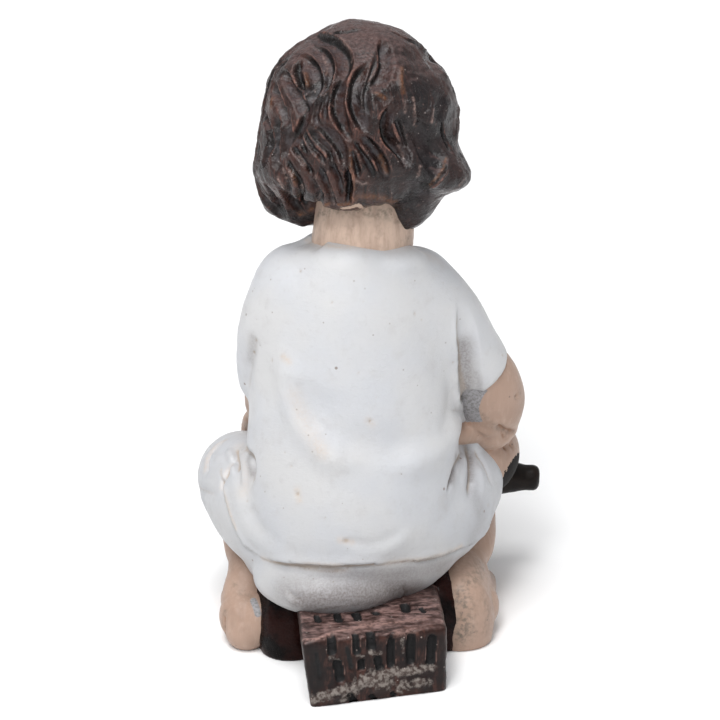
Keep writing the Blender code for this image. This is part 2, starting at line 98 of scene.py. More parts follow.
def through(stations, steps):
    """Rows read from a smooth curve through the stations."""
    rows = np.array([stations[0], *stations, stations[-1]], float)
    found = []
    for a, b, c, d in zip(rows, rows[1:], rows[2:], rows[3:]):
        for t in np.arange(steps) / steps:
            bend = (2 * a - 5 * b + 4 * c - d) * t**2 + (3 * b - a - 3 * c + d) * t**3
            found.append(0.5 * (2 * b + (c - a) * t + bend))
    found.append(rows[-1])
    return np.array(found)


def smooth_step(low, high, value):
    t = np.clip((value - low) / (high - low), 0, 1)
    return t * t * (3 - 2 * t)


def placed(name, data):
    """An object with this mesh, light or camera, put into the scene."""
    obj = bpy.data.objects.new(name, data)
    bpy.context.scene.collection.objects.link(obj)
    return obj


def object_of(name, bm):
    mesh = bpy.data.meshes.new(name)
    bm.to_mesh(mesh)
    bm.free()
    return placed(name, mesh)


def closed_tube(name, rings):
    """A closed skin over rings of equal counts, with a point at each end."""
    count = len(rings[0])
    vertices = [p for ring in rings for p in ring]
    faces = []
    for row in range(len(rings) - 1):
        for i in range(count):
            j = (i + 1) % count
            low, high = row * count, (row + 1) * count
            faces.append((low + i, low + j, high + j, high + i))
    for ring, start, turned in ((rings[0], 0, True), (rings[-1], len(vertices) - count, False)):
        tip = len(vertices)
        vertices.append(np.mean(ring, axis=0))
        for i in range(count):
            edge = (start + i, start + (i + 1) % count)
            faces.append((*(reversed(edge) if turned else edge), tip))
    mesh = bpy.data.meshes.new(name)
    mesh.from_pydata([tuple(Vector(v) * MM) for v in vertices], [], faces)
    mesh.update()
    bm = bmesh.new()
    bm.from_mesh(mesh)
    bmesh.ops.recalc_face_normals(bm, faces=bm.faces)
    return object_of(name, bm)


def loft(name, stations, front=FRONT, sides=48, steps=10, start_height=1.0, end_height=1.0):
    """A round-ended closed form through the stations, whose half depths lie along the front direction."""
    rows = through(stations, steps)
    centres = rows[:, :3]
    along = np.gradient(centres, axis=0)
    along /= np.linalg.norm(along, axis=1)[:, None]
    turns = np.linspace(0, 2 * math.pi, sides, endpoint=False)
    dome = np.radians((84, 72, 60, 48, 36, 24, 12))
    shrunk = []
    for angle in dome:
        out = along[0] * rows[0, 3] * start_height * math.sin(angle)
        shrunk.append((centres[0] - out, along[0], rows[0, 3:] * math.cos(angle)))
    shrunk += [(c, d, r[3:]) for c, d, r in zip(centres, along, rows)]
    for angle in dome[::-1]:
        out = along[-1] * rows[-1, 3] * end_height * math.sin(angle)
        shrunk.append((centres[-1] + out, along[-1], rows[-1, 3:] * math.cos(angle)))
    rings = []
    for centre, direction, (half_width, half_depth) in shrunk:
        side = np.cross(direction, front)
        side /= np.linalg.norm(side)
        depth = np.cross(side, direction)
        rings.append(
            centre
            + np.outer(np.cos(turns) * half_width, side)
            + np.outer(np.sin(turns) * half_depth, depth)
        )
    return closed_tube(name, rings)


def blob(name, centre, radii, turn=(0, 0, 0)):
    """An ellipsoid, turned by three angles in degrees."""
    bm = bmesh.new()
    bmesh.ops.create_icosphere(bm, subdivisions=5, radius=1)
    size = Matrix.Diagonal([r * MM for r in radii] + [1])
    tilt = Matrix.Rotation(math.radians(turn[2]), 4, "Z")
    tilt @= Matrix.Rotation(math.radians(turn[1]), 4, "Y")
    tilt @= Matrix.Rotation(math.radians(turn[0]), 4, "X")
    bm.transform(Matrix.Translation(Vector(centre) * MM) @ tilt @ size)
    return object_of(name, bm)


def finger(name, points, radius):
    return loft(name, [station(p, radius) for p in points], front=UP, sides=20, steps=8)


def apply_modifiers(obj):
    graph = bpy.context.evaluated_depsgraph_get()
    mesh = bpy.data.meshes.new_from_object(obj.evaluated_get(graph))
    obj.modifiers.clear()
    obj.data = mesh
    return obj


def fuse(name, objects, voxel, smoothing):
    """One closed mesh around overlapping closed forms, with the joins between them eased."""
    bm = bmesh.new()
    for obj in objects:
        apply_modifiers(obj)
        bm.from_mesh(obj.data)
        bpy.data.objects.remove(obj)
    fused = object_of(name, bm)
    remesh = fused.modifiers.new("fuse", "REMESH")
    remesh.mode = "VOXEL"
    remesh.voxel_size = voxel * MM
    ease = fused.modifiers.new("ease", "SMOOTH")
    ease.factor = 0.5
    ease.iterations = smoothing
    return apply_modifiers(fused)


def cut_at_ground(obj):
    """Takes away what is below the floor, so that the underside is flat."""
    places = points_of(obj)
    places[:, 2] = np.maximum(places[:, 2], 0)
    move_to(obj, places)
    return obj


def points_of(obj):
    found = np.empty(len(obj.data.vertices) * 3, np.float32)
    obj.data.vertices.foreach_get("co", found)
    return found.reshape(-1, 3).astype(float) / MM


def normals_of(obj):
    found = np.empty(len(obj.data.vertices) * 3, np.float32)
    obj.data.vertex_normals.foreach_get("vector", found)
    return found.reshape(-1, 3).astype(float)


def move_to(obj, places):
    obj.data.vertices.foreach_set("co", (places * MM).astype(np.float32).ravel())
    obj.data.update()


def tree_of(obj):
    places = points_of(obj)
    faces = [tuple(p.vertices) for p in obj.data.polygons]
    return BVHTree.FromPolygons([tuple(p) for p in places], faces)


def spread(obj, values, passes):
    """Averages the values of each vertex with its neighbours', several times."""
    edges = np.empty(len(obj.data.edges) * 2, np.int32)
    obj.data.edges.foreach_get("vertices", edges)
    a, b = edges[0::2], edges[1::2]
    size = len(values)
    count = np.bincount(a, minlength=size) + np.bincount(b, minlength=size)
    for _ in range(passes):
        around = [np.bincount(a, column[b], size) + np.bincount(b, column[a], size) for column in values.T]
        values = 0.5 * values + 0.5 * np.array(around).T / count[:, None]
    return values


def hollowness(obj, passes=6):
    """How far each place lies below (above 0) or above (below 0) the surface around it, in millimetres."""
    places = points_of(obj)
    return ((spread(obj, places, passes) - places) * normals_of(obj)).sum(1)


def rough(places, size, seed):
    """Smooth noise from -1 to 1, with waves of about this size in millimetres."""
    shift = Vector((seed * 7.3, seed * 3.1, seed * 5.7))
    return np.array([noise.noise(Vector(p) / size + shift) for p in places])


def roughen(obj, *waves):
    """Small uneven waves all over: the height, the size and the seed of each."""
    places = points_of(obj)
    uneven = sum(height * rough(places, size, seed) for height, size, seed in waves)
    move_to(obj, places + normals_of(obj) * uneven[:, None])


def attribute(obj, name, values):
    layer = obj.data.attributes.new(name, "FLOAT", "POINT")
    layer.data.foreach_set("value", values.astype(np.float32))


def place_attribute(obj, name, values):
    layer = obj.data.attributes.new(name, "FLOAT_VECTOR", "POINT")
    layer.data.foreach_set("vector", values.astype(np.float32).ravel())


# Strokes of the modelling tool.


def along_route(places, normals, route):
    """Distance to the route, share of it run so far, and on which side of it each place lies."""
    nearest = np.full(len(places), 1e9)
    share = np.zeros(len(places))
    side = np.zeros(len(places))
    lengths = np.linalg.norm(np.diff(route, axis=0), axis=1)
    total = lengths.sum() + 1e-9
    done = 0.0
    for a, b, length in zip(route, route[1:], lengths):
        run = b - a
        t = np.clip((places - a) @ run / (run @ run + 1e-12), 0, 1)
        off = places - a - t[:, None] * run
        distance = np.linalg.norm(off, axis=1)
        closer = distance < nearest
        nearest[closer] = distance[closer]
        share[closer] = (done + t[closer] * length) / total
        across = np.cross(normals[closer], run)
        side[closer] = np.sign((off[closer] * across).sum(1))
        done += length
    return nearest, share, side


def right_of(obj, border):
    """A soft mask of the seen surface to the right of a border, given as pixels from top to bottom."""
    places, normals = points_of(obj), normals_of(obj)
    run = places - np.array(EYE)
    local = run @ np.array(TURN.to_matrix())
    u = VIEW / 2 - FOCAL_PIXELS * local[:, 0] / local[:, 2]
    v = VIEW / 2 + FOCAL_PIXELS * local[:, 1] / local[:, 2]
    edge = np.interp(v, [row for _, row in border], [column for column, _ in border])
    inside = (v > border[0][1]) & (v < border[-1][1])
    return smooth_step(-4, 4, u - edge) * inside * ((normals * run).sum(1) < 0)


def laid(tree, path):
    """A seen path on the surface, or a path of places as it is."""
    if len(path[0]) == 3:
        return through([tuple(p) for p in path], 5)
    found = [seen(tree, u, v) for u, v in path]
    found = [tuple(p) for p in found if p is not None]
    return through(found, 5) if len(found) > 1 else None


def near_route(places, route, margin):
    low, high = route.min(0) - margin, route.max(0) + margin
    return np.nonzero(((places > low) & (places < high)).all(1))[0]


def profile(kind, distance, side, width, height, steep):
    """How far a stroke moves the surface.

    A gouge may have one steep wall: 1 puts it on the left of the run, -1 on the right.
    """
    if kind == "gouge":
        across = side * distance / width * (steep or 1)
        middle, foot = (0.50, -1.7) if steep else (0.0, -1.0)
        span = np.where(across > middle, 1 - middle, foot - middle)
        reach = (across - middle) / span
        floor = -height * np.clip(1 - reach**2, 0, None)
        return floor + 0.10 * height * np.exp(-(((across - 1.15) / 0.25) ** 2))
    if kind == "slot":
        return -height * np.clip(1 - (distance / width) ** 4, 0, None)
    if kind == "fold":
        return height * np.exp(-((distance / width) ** 2))
    high = height * np.exp(-((distance / width) ** 2))
    low = -height * np.exp(-((distance / (0.45 * width)) ** 2))
    blend = smooth_step(-0.25 * width, 0.25 * width, side * distance)
    return low + (high - low) * blend


def carve(obj, strokes, deepest=False):
    """Works the strokes into the surface. Gouges that cross keep the deeper cut if deepest is set.

    Gives how far each place was moved, and masks for the walls of the gouges and for the rims above them.
    """
    tree = tree_of(obj)
    places, normals = points_of(obj), normals_of(obj)
    moved, walls, rims = (np.zeros(len(places)) for _ in range(3))
    for kind, width, height, path, *steep in strokes:
        route = laid(tree, path)
        if route is None:
            continue
        near = near_route(places, route, 3 * width + 1)
        distance, share, side = along_route(places[near], normals[near], route)
        fade = 0.16 if kind == "slot" else 0.24
        taper = 0.05 + 0.95 * smooth_step(0, fade, share) * smooth_step(0, fade, 1 - share)
        change = profile(kind, distance, side, width * (0.6 + 0.4 * taper), height * taper, sum(steep))
        if deepest and kind in ("gouge", "slot"):
            moved[near] = np.where(change < 0, np.minimum(moved[near], change), moved[near] + change)
        else:
            moved[near] += change
        if kind == "gouge":
            across = side * distance / width * (sum(steep) or 1)
            walls[near] = np.maximum(walls[near], taper * np.exp(-(((across - 0.75) / 0.30) ** 2)))
            rims[near] = np.maximum(rims[near], taper * np.exp(-(((across - 1.25) / 0.20) ** 2)))
    move_to(obj, places + normals * moved[:, None])
    return moved, walls, rims


def stain(obj, strokes):
    """A mask from 0 to 1 along soft strokes: half width in millimetres, strength and path of each."""
    tree = tree_of(obj)
    places, normals = points_of(obj), normals_of(obj)
    mask = np.zeros(len(places))
    for width, strength, path in strokes:
        route = laid(tree, path)
        if route is None:
            continue
        near = near_route(places, route, 2.5 * width)
        distance, share, side = along_route(places[near], normals[near], route)
        mask[near] = np.maximum(mask[near], strength * np.exp(-((distance / width) ** 2)))
    return mask


def keep_stains(obj, **masks):
    """Keeps the mask of each list of strokes as an attribute under its name."""
    for name, strokes in masks.items():
        attribute(obj, name, stain(obj, strokes))


# Forms of the cast.

HEAD_CENTRE = (1.0, 2.6, 73.5)
HEAD_TURN, HEAD_BOW = 30.0, 14.0


def head_matrix():
    """The head's own frame: x to its right, y where the face looks, z through the crown."""
    turn = Matrix.Rotation(-math.radians(HEAD_TURN), 4, "Z")
    bow = Matrix.Rotation(-math.radians(HEAD_BOW), 4, "X")
    return Matrix.Translation(seat(*HEAD_CENTRE)) @ turn @ bow


HAIR_HALF_WIDTH, HAIR_CROWN = 14.6, 14.9
HAIR_BELOW_NAPE, HAIR_BELOW_SIDES = 13.9, 17.9
NAPE_LEFT, NAPE_RIGHT = (-86.0, -58.0), (74.0, 100.0)
HAIR_SQUARE_TOP, HAIR_SQUARE_BELOW = 2.1, 3.4
LOCKS_LIFT = 0.30
RIGHT_FLIP = (84.0, 30.0, 110.0, 11.0, 4.9)
LEFT_FLIP = (-62.0, 40.0, 122.0, 12.0, 1.4)
RIGHT_FULLNESS = (84.0, 40.0, 76.0, 20.0, 1.0)
RIGHT_DENT = (84.0, 40.0, 46.0, 12.0, -0.6)
LEFT_DENT = (-50.0, 50.0, 32.0, 16.0, -0.9)
LEFT_FULLNESS = (-76.0, 30.0, 140.0, 11.0, 1.5)
RIGHT_HEM = (64.0, 34.0, 152.0, 18.0, -1.7)
LEFT_HEM = (-32.0, 28.0, 156.0, 14.0, -2.0)
HAIR_SWELLS = (
    RIGHT_FLIP, LEFT_FLIP, RIGHT_FULLNESS, LEFT_FULLNESS, RIGHT_DENT, LEFT_DENT, RIGHT_HEM, LEFT_HEM
)
FACE_POLAR, FACE_HALF_WIDE, FACE_HALF_HIGH, FACE_DEPTH_RADIUS = 104.0, 56.0, 58.0, 8.5


def hair_radius(azimuth, polar):
    """The hair's distance from the head's centre.

    Azimuth is 0 at the nape and grows towards the right ear, and polar is 0 at the crown.
    """
    below = np.cos(polar) < 0
    square = np.where(below, HAIR_SQUARE_BELOW, HAIR_SQUARE_TOP)
    degrees = np.degrees(azimuth)
    towards_nape = smooth_step(*NAPE_LEFT, degrees) * (1 - smooth_step(*NAPE_RIGHT, degrees))
    hem = HAIR_BELOW_SIDES + (HAIR_BELOW_NAPE - HAIR_BELOW_SIDES) * towards_nape
    tall = np.where(below, hem, HAIR_CROWN)
    radius = (
        (np.sin(polar) / HAIR_HALF_WIDTH) ** square + (np.abs(np.cos(polar)) / tall) ** square
    ) ** (-1 / square) + LOCKS_LIFT
    for towards, spread_wide, lowered, tallness, height in HAIR_SWELLS:
        around = np.exp(-(((degrees - towards) / spread_wide) ** 2))
        down = np.exp(-(((np.degrees(polar) - lowered) / tallness) ** 2))
        radius = radius + height * around * down
    wide = (180 - np.abs(degrees)) / FACE_HALF_WIDE
    high = (np.degrees(polar) - FACE_POLAR) / FACE_HALF_HIGH
    face = 1 - smooth_step(0.86, 1.08, np.hypot(wide, high))
    return radius * (1 - face) + FACE_DEPTH_RADIUS * face


def hair_place(azimuth, polar, lift=0.0):
    """A place on the hair, from its angles in degrees."""
    a, p = math.radians(azimuth), math.radians(polar)
    r = float(hair_radius(np.array(a), np.array(p))) + lift
    out = Vector((math.sin(p) * math.sin(a), -math.sin(p) * math.cos(a), math.cos(p)))
    return head_matrix() @ (out * r)


def hair_form(rows=120, columns=240):
    polar = np.linspace(math.radians(4), math.radians(158), rows)
    azimuth = np.linspace(-math.pi, math.pi, columns, endpoint=False)
    matrix = head_matrix()
    rings = []
    for angle in polar:
        radius = hair_radius(azimuth, np.full(columns, angle))
        x = radius * np.sin(angle) * np.sin(azimuth)
        y = -radius * np.sin(angle) * np.cos(azimuth)
        z = radius * np.cos(angle)
        rings.append([np.array(matrix @ Vector(place)) for place in zip(x, y, z)])
    return closed_tube("hair_form", rings)


# The locks that the camera sees: half width, depth, the steep side and the middle of each gouge.
# The side is 1 for the right side of a stroke that runs down the view.
SEEN_LOCKS = [
    (1.06, 1.38, 1,
     [(310.5, 36), (327, 39), (337, 45), (343, 52), (345.5, 59), (345, 68), (342, 77), (336, 89)]),
    (1.01, 1.38, 1,
     [(307.5, 45.5), (318, 47), (323, 53), (326, 59), (328, 67), (327, 75), (324, 84), (315, 102)]),
    (1.06, 1.38, 1,
     [(297.5, 56), (308, 62), (313, 69), (315, 76), (315, 84), (313, 91), (310, 98), (307, 111.5)]),
    (0.69, 1.25, -1, [(303, 54.5), (297, 65), (296, 73), (299, 80), (301, 87), (304, 99)]),
    (0.80, 1.65, 1, [(282, 69.5), (288, 80), (291, 87), (295, 94), (299, 101), (302, 110), (303.5, 125)]),
    (0.80, 1.60, 1, [(268.5, 69), (273, 81), (275, 89), (278, 97), (281, 106), (283, 116), (284.5, 131)]),
    (0.43, 1.46, 0, [(267, 77), (276, 68), (286.5, 60.5)]),
    (0.95, 1.22, -1, [(349, 76.5), (340, 87), (336, 96), (335, 106), (338, 116), (343, 125), (353.5, 137)]),
    (1.06, 1.30, -1,
     [(373, 62), (361, 74), (356, 83), (354, 93), (354, 104), (357, 114), (362, 124), (371, 137.5)]),
    (0.95, 1.30, -1, [(382.5, 39), (384, 54), (385, 63), (382, 73), (377, 81), (369.5, 94.5)]),
    (0.56, 0.90, -1, [(377.5, 54.5), (373, 71), (369, 82), (366, 94), (366, 106), (370.5, 124)]),
    (0.78, 1.06, -1, [(310.5, 93), (306, 108), (304, 118), (300, 128), (295, 138), (290.5, 153)]),
    (0.78, 0.80, 0, [(322, 93), (316, 108), (315, 118), (318, 131.5)]),
    (0.67, 0.67, 0, [(329.5, 86.5), (325, 103), (324, 113), (327, 126.5)]),
    (0.90, 1.30, -1,
     [(311.5, 118.5), (322, 129), (329, 136), (334, 142), (339, 149), (343, 157), (347.5, 169)]),
    (0.73, 1.13, -1, [(306.5, 124), (314, 136), (319, 143), (326, 149), (331, 155), (335.5, 167)]),
    (0.47, 1.13, -1, [(301, 124), (304, 136), (308, 143), (313, 149), (319, 155), (326.5, 165.5)]),
    (0.43, 0.81, -1, [(296, 125.5), (299, 139), (302, 147), (308, 157.5)]),
    (0.50, 1.06, -1, [(288.5, 142.5), (296, 153), (301, 159), (307, 167), (314.5, 179)]),
    (0.84, 0.74, 0, [(340, 107.5), (343, 121), (345, 130), (352.5, 142)]),
    (0.50, 0.97, -1, [(283.5, 155), (291, 170), (296, 178), (300, 187), (304.5, 199)]),
    (0.62, 0.84, 0, [(276.5, 155), (281, 170), (285, 180), (289, 190), (299.5, 205)]),
    (0.90, 1.12, 0, [(277.5, 183.5), (285, 194), (291, 201), (298, 208), (308.5, 215.5)]),
    (0.90, 1.12, 0, [(264, 179), (270, 191), (275, 200), (280, 209), (286, 219.5)]),
    (0.90, 0.98, 0, [(253.5, 172.5), (258, 189), (265, 200), (274, 210), (284.5, 220.5)]),
    (0.65, 1.05, 0, [(294, 184), (300, 196), (305, 203), (311, 212)]),
    (0.84, 1.05, 0, [(303.5, 167.5), (311, 181), (315, 189), (319, 197), (325, 209)]),
    (0.69, 0.91, 0, [(315.5, 161), (323, 176), (327, 186), (331, 196), (335.5, 208)]),
    (0.69, 0.98, 0, [(328.5, 156.5), (336, 173), (340, 184), (344.5, 202)]),
    (0.69, 2.02, 0, [(346.5, 165.5), (348, 179), (349, 187), (347.5, 206.5)]),
    (0.56, 0.78, 0, [(350.5, 137.5), (358, 148), (363, 155), (370, 166), (376, 181)]),
    (0.95, 1.05, 0, [(359, 132.5), (368, 143), (374, 150), (380, 159), (384, 169), (387, 182.5)]),
    (0.67, 0.70, 0, [(350.5, 146), (355, 164), (359.5, 179)]),
    (0.95, 0.53, 0, [(361, 177), (361, 192), (359.5, 207)]),
    (0.90, 0.45, 0, [(372, 176.5), (372, 193), (373.5, 208)]),
    (0.90, 0.45, 0, [(384, 177), (384, 192), (387, 207)]),
    (0.90, 1.78, -1,
     [(394.5, 104), (387, 116), (385, 124), (386, 133), (390, 141), (397, 148), (403, 155), (407.5, 170)]),
    (0.67, 0.84, 0, [(395, 115), (401, 130), (405, 140), (408, 152)]),
    (0.45, 0.98, 0, [(441.5, 119), (443, 134), (446, 143), (453.5, 155)]),
    (1.20, 0.80, 1, [(445, 157), (440, 168), (433, 177), (425, 185), (415, 193)]),
    (0.56, 0.98, 0, [(443, 70), (434, 58), (427, 50), (418, 44), (406, 38), (385, 30.5)]),
    (0.67, 0.56, 0, [(457, 102), (451, 84), (446, 74), (438.5, 63.5)]),
    (0.45, 0.43, 0, [(328, 33.5), (343, 32), (370, 29)]),
    (0.70, 1.15, 1, [(262, 106), (268, 124), (270, 138), (268, 152), (262, 170)]),
    (0.80, 1.20, 1, [(275.5, 111), (277, 132), (276, 146), (276, 160), (280.5, 178)]),
    (0.70, 1.00, 1, [(287.5, 111), (289, 132), (286, 146), (283, 164)]),
    (0.67, 0.95, 1, [(259, 144), (256, 162), (256, 180)]),
]

# Raised edges between them and, below 0, broad hollows: half width, height and path.
SEEN_RIDGES = [
    (0.45, 0.40, [(303, 67), (305, 76), (306, 84), (306, 93)]),
    (0.55, 0.35, [(402, 66), (401, 80), (403, 94)]),
    (0.35, 0.30, [(349, 148), (351, 166), (353, 177), (354, 188), (353, 197)]),
    (0.35, 0.30, [(389, 120), (395, 131), (399, 140)]),
    (0.60, 0.35, [(450, 156), (447, 166), (443, 175), (437, 182), (429, 188)]),
    (1.00, 0.60, [(457, 104), (458, 118), (457, 130), (455, 142)]),
    (1.20, 0.50, [(265, 94), (265, 101)]),
    (2.40, -1.30, [(440, 144), (434, 150), (427, 156), (420, 160)]),
    (1.30, -0.50, [(376, 101), (382, 97), (388, 92)]),
    (0.45, 0.30, [(373, 93), (381, 96), (388, 99)]),
    (1.50, -0.55, [(402, 106), (407, 122), (409, 140)]),
    (1.80, -0.60, [(424, 118), (418, 132), (410, 142), (401, 149)]),
    (0.80, 0.35, [(411, 96), (414, 110), (415, 126)]),
    (1.40, -0.45, [(424, 96), (424, 114), (423, 132), (418, 148)]),
    (0.80, 0.35, [(434, 96), (432, 112), (429, 130)]),
    (1.30, -0.40, [(441, 92), (440, 108), (438, 124)]),
    (1.10, -0.45, [(415, 168), (411, 184), (408, 200), (407, 212)]),
    (1.10, -0.45, [(426, 183), (420, 198), (414, 212)]),
    (1.10, -0.40, [(398, 166), (397, 182), (395, 198)]),
    (0.35, 0.25, [(272, 98), (271, 108)]),
    (0.40, 0.30, [(357, 179), (366, 183)]),
    (1.20, 0.50, [(418, 36), (428, 44), (434, 54)]),
    (1.20, 0.40, [(449, 74), (455, 86), (458, 98)]),
    (0.35, 0.30, [(291, 173), (294, 183), (296, 191)]),
]


# The plainer locks that the camera doesn't see are laid in equal steps from the crown, and those that would
# cross the face end above it.
LOCK_STEPS, LOCK_STEP = 13, 10.5
FACE_SIDE, FACE_TOP = 118, 50


def waved_locks(azimuths, width, depth, start, stagger, swing, drift):
    """Locks at these azimuths. Stagger and swing are a size and the numbers that vary it."""
    strokes = []
    for place, azimuth in enumerate(azimuths):
        path = []
        for step in range(LOCK_STEPS):
            polar = start + stagger[0] * math.sin(stagger[1] * place) + step * LOCK_STEP
            wave = swing[0] * math.sin(math.radians(polar * swing[1]) + swing[2] * place)
            if abs(azimuth) > FACE_SIDE and polar > FACE_TOP:
                break
            path.append(tuple(hair_place(azimuth + wave + drift * (polar - 24), polar)))
        strokes.append(("gouge", width, depth, path))
    return strokes


def hidden_locks():
    left = waved_locks(range(-174, -58, 9), 0.95, 0.55, 18, (4, 1.9), (4.5, 2.6, 0.9), 0.10)
    return left + waved_locks(range(106, 186, 9), 0.90, 0.40, 16, (5, 1.7), (5.0, 2.4, 0.5), 0.0)


def hair_path(*angles):
    return [tuple(hair_place(azimuth, polar)) for azimuth, polar in angles]


# The dent in the right outline of the head, with the fuller hair above and below it.
NOTCH = [
    ("fold", 0.8, -0.45, hair_path((92, 43), (102, 45), (112, 47), (126, 50))),
    ("fold", 1.8, 0.25, hair_path((92, 35), (102, 37), (112, 39), (126, 42))),
    ("fold", 2.0, 0.25, hair_path((92, 56), (102, 58), (112, 60), (126, 63))),
]

# Paint of the neck that slopped onto the hem of the hair, and the brown glaze above it.
SLOP = [
    (0.45, 1.0, [(343, 208.5), (352, 207), (360, 206), (368, 208)]),
    (0.40, 0.9, [(371, 208), (380, 207), (388, 206.5)]),
]
GLAZE = [
    (0.35, 0.9, [(300, 214), (312, 209), (326, 205), (340, 205), (350, 204)]),
    (0.60, 0.5, [(352, 199), (366, 197), (382, 198), (394, 202)]),
    (0.16, 0.7, [(446, 158), (443, 168), (437, 177), (430, 185)]),
    (0.35, 0.6, [(402, 68), (402, 80), (403, 92)]),
    (0.35, 0.6, [(272, 98), (271, 108)]),
    (0.25, 0.6, [(350, 150), (351, 166), (353, 178), (354, 190)]),
    (0.30, 0.5, [(292, 172), (295, 184)]),
    (0.35, 0.5, [(380, 156), (384, 166), (386, 172)]),
    (0.40, 0.5, [(306, 74), (307, 84)]),
    (0.30, 0.6, [(376, 93), (385, 98)]),
]

# Places where the paint is rubbed, and painted glints and highlights on the ridges.
RUBBED_AND_GLINTS = [
    (0.20, 0.9, [(413, 98), (415, 112), (414, 124)]),
    (0.22, 0.7, [(434, 110), (432, 122)]),
    (0.20, 0.7, [(404, 100), (405, 112)]),
    (0.22, 0.9, [(278, 178), (283, 188)]),
    (0.18, 0.8, [(283, 168), (287, 178)]),
    (0.18, 0.8, [(289, 170), (292, 180)]),
    (0.20, 0.6, [(257, 172), (254, 182)]),
    (0.20, 0.7, [(356, 181), (362, 184), (366, 183)]),
    (0.18, 0.7, [(300, 156), (306, 166)]),
    (0.16, 0.7, [(302, 184), (305, 200)]),
    (0.16, 0.7, [(316, 176), (320, 196), (322, 206)]),
    (0.16, 0.7, [(328, 172), (332, 190), (334, 204)]),
    (0.16, 0.6, [(352, 176), (353, 196)]),
    (0.20, 0.5, [(398, 146), (404, 158)]),
    (0.25, 0.5, [(420, 166), (418, 176)]),
    (0.18, 0.6, [(465, 178), (459, 186), (450, 192)]),
    (0.16, 0.6, [(341, 38), (350, 50), (352, 62)]),
    (0.16, 0.6, [(322, 56), (327, 66), (326, 76)]),
    (0.25, 0.5, [(392, 30), (400, 36), (412, 44)]),
]

# The side that lies in shade and is painted darker.
DARK_SIDE = [(6.0, 1.0, [(430, 96), (432, 140), (430, 180), (414, 206)])]


def make_hair():
    hair = fuse("hair", [hair_form()], 0.225, 3)
    strokes = [("gouge", width, depth, path, steep) for width, depth, steep, path in SEEN_LOCKS]
    strokes += [("fold", width, height, path) for width, height, path in SEEN_RIDGES]
    depth, walls, rims = carve(hair, strokes + hidden_locks() + NOTCH, deepest=True)
    roughen(hair, (0.22, 5.5, 21), (0.18, 2.2, 1), (0.10, 0.8, 2))
    move_to(hair, spread(hair, points_of(hair), 1))
    keep_stains(hair, slop=SLOP, glaze=GLAZE, rubbed=RUBBED_AND_GLINTS, shade=DARK_SIDE)
    attribute(hair, "cut", np.clip(-depth / 0.7, 0, 1))
    attribute(hair, "wall", walls)
    attribute(hair, "rim", rims)
    attribute(hair, "crown", smooth_step(0.60, 0.97, normals_of(hair)[:, 2]))
    attribute(hair, "hollow", hollowness(hair, 5) * 12)
    local = np.array([tuple(head_matrix().inverted() @ Vector(p)) for p in points_of(hair)])
    around = np.degrees(np.arctan2(local[:, 0], -local[:, 1]))
    down = np.degrees(np.arccos(np.clip(local[:, 2] / np.linalg.norm(local, axis=1), -1, 1)))
    wave = 9 * np.sin(np.radians(down * 2.6) + around / 40)
    place_attribute(hair, "flow", np.stack([(around + wave) / 4, down / 24, np.zeros(len(down))], 1))
    return hair


def trunk():
    return [
        blob("collar_right", seat(5.0, -5.2, 53.0), (6.2, 4.2, 2.4)),
        loft(
            "body_of_tunic",
            on_seat(
                (0.0, -2.6, -2.0, 13.6, 13.0), (-0.2, -2.4, 1.0, 16.8, 15.8),
                (-0.4, -2.0, 5.0, 18.2, 16.8), (-0.4, -2.0, 9.5, 18.2, 17.0),
                (-0.4, -1.8, 15.0, 17.6, 16.2), (-0.4, -1.6, 23.0, 16.6, 14.2),
                (-0.4, -1.5, 31.0, 16.0, 12.8), (-0.3, -1.5, 39.0, 15.4, 11.8),
                (0.0, -1.6, 46.2, 14.8, 10.6), (0.3, -1.4, 51.2, 12.2, 9.0),
                (0.7, -1.0, 53.8, 8.6, 7.6),
            ),
            sides=120,
            start_height=0.25,
            end_height=0.25,
        )
    ]


def sleeves():
    return [
        loft(
            "right_sleeve",
            on_seat(
                (9.3, -1.4, 45.9, 7.5), (13.4, -1.0, 41.4, 7.0), (16.4, -0.2, 36.2, 6.5),
                (18.9, 0.8, 31.8, 6.4),
            ),
            end_height=0.4,
        ),
        loft(
            "right_underarm_cloth",
            on_seat(
                (12.6, -2.0, 36.0, 4.4, 3.4), (15.0, 0.4, 30.0, 5.0, 2.8),
                (16.6, 2.2, 24.0, 4.6, 2.6), (17.0, 3.4, 18.0, 4.6, 3.0),
            ),
        ),
        loft(
            "left_sleeve",
            on_seat(
                (-8.8, -1.4, 47.2, 7.5), (-11.4, -0.6, 41.4, 6.8), (-12.3, 1.2, 35.0, 6.1),
                (-12.0, 3.4, 30.6, 5.9),
            ),
            end_height=0.4,
        ),
    ]


def thighs():
    return [
        loft(
            "left_thigh_cloth",
            on_seat(
                (-7.0, -7.0, 8.0, 9.4), (-12.6, 0.0, 9.6, 9.6), (-15.8, 7.0, 10.8, 8.4),
                (-16.6, 11.4, 10.4, 7.4),
            ),
            front=UP,
        ),
        loft(
            "right_thigh_cloth",
            on_seat(
                (7.0, -7.0, 8.4, 9.4), (12.8, -1.0, 9.4, 9.4), (16.2, 4.2, 10.2, 8.5),
                (17.2, 6.8, 10.4, 8.1),
            ),
            front=UP,
            end_height=0.3,
        ),
        blob("cloth_between_knees", seat(3.6, 9.6, 4.4), (13.0, 8.8, 6.6)),
        blob("cloth_over_timber", seat(-4.6, -9.4, 2.2), (12.6, 11.2, 5.4)),
    ]


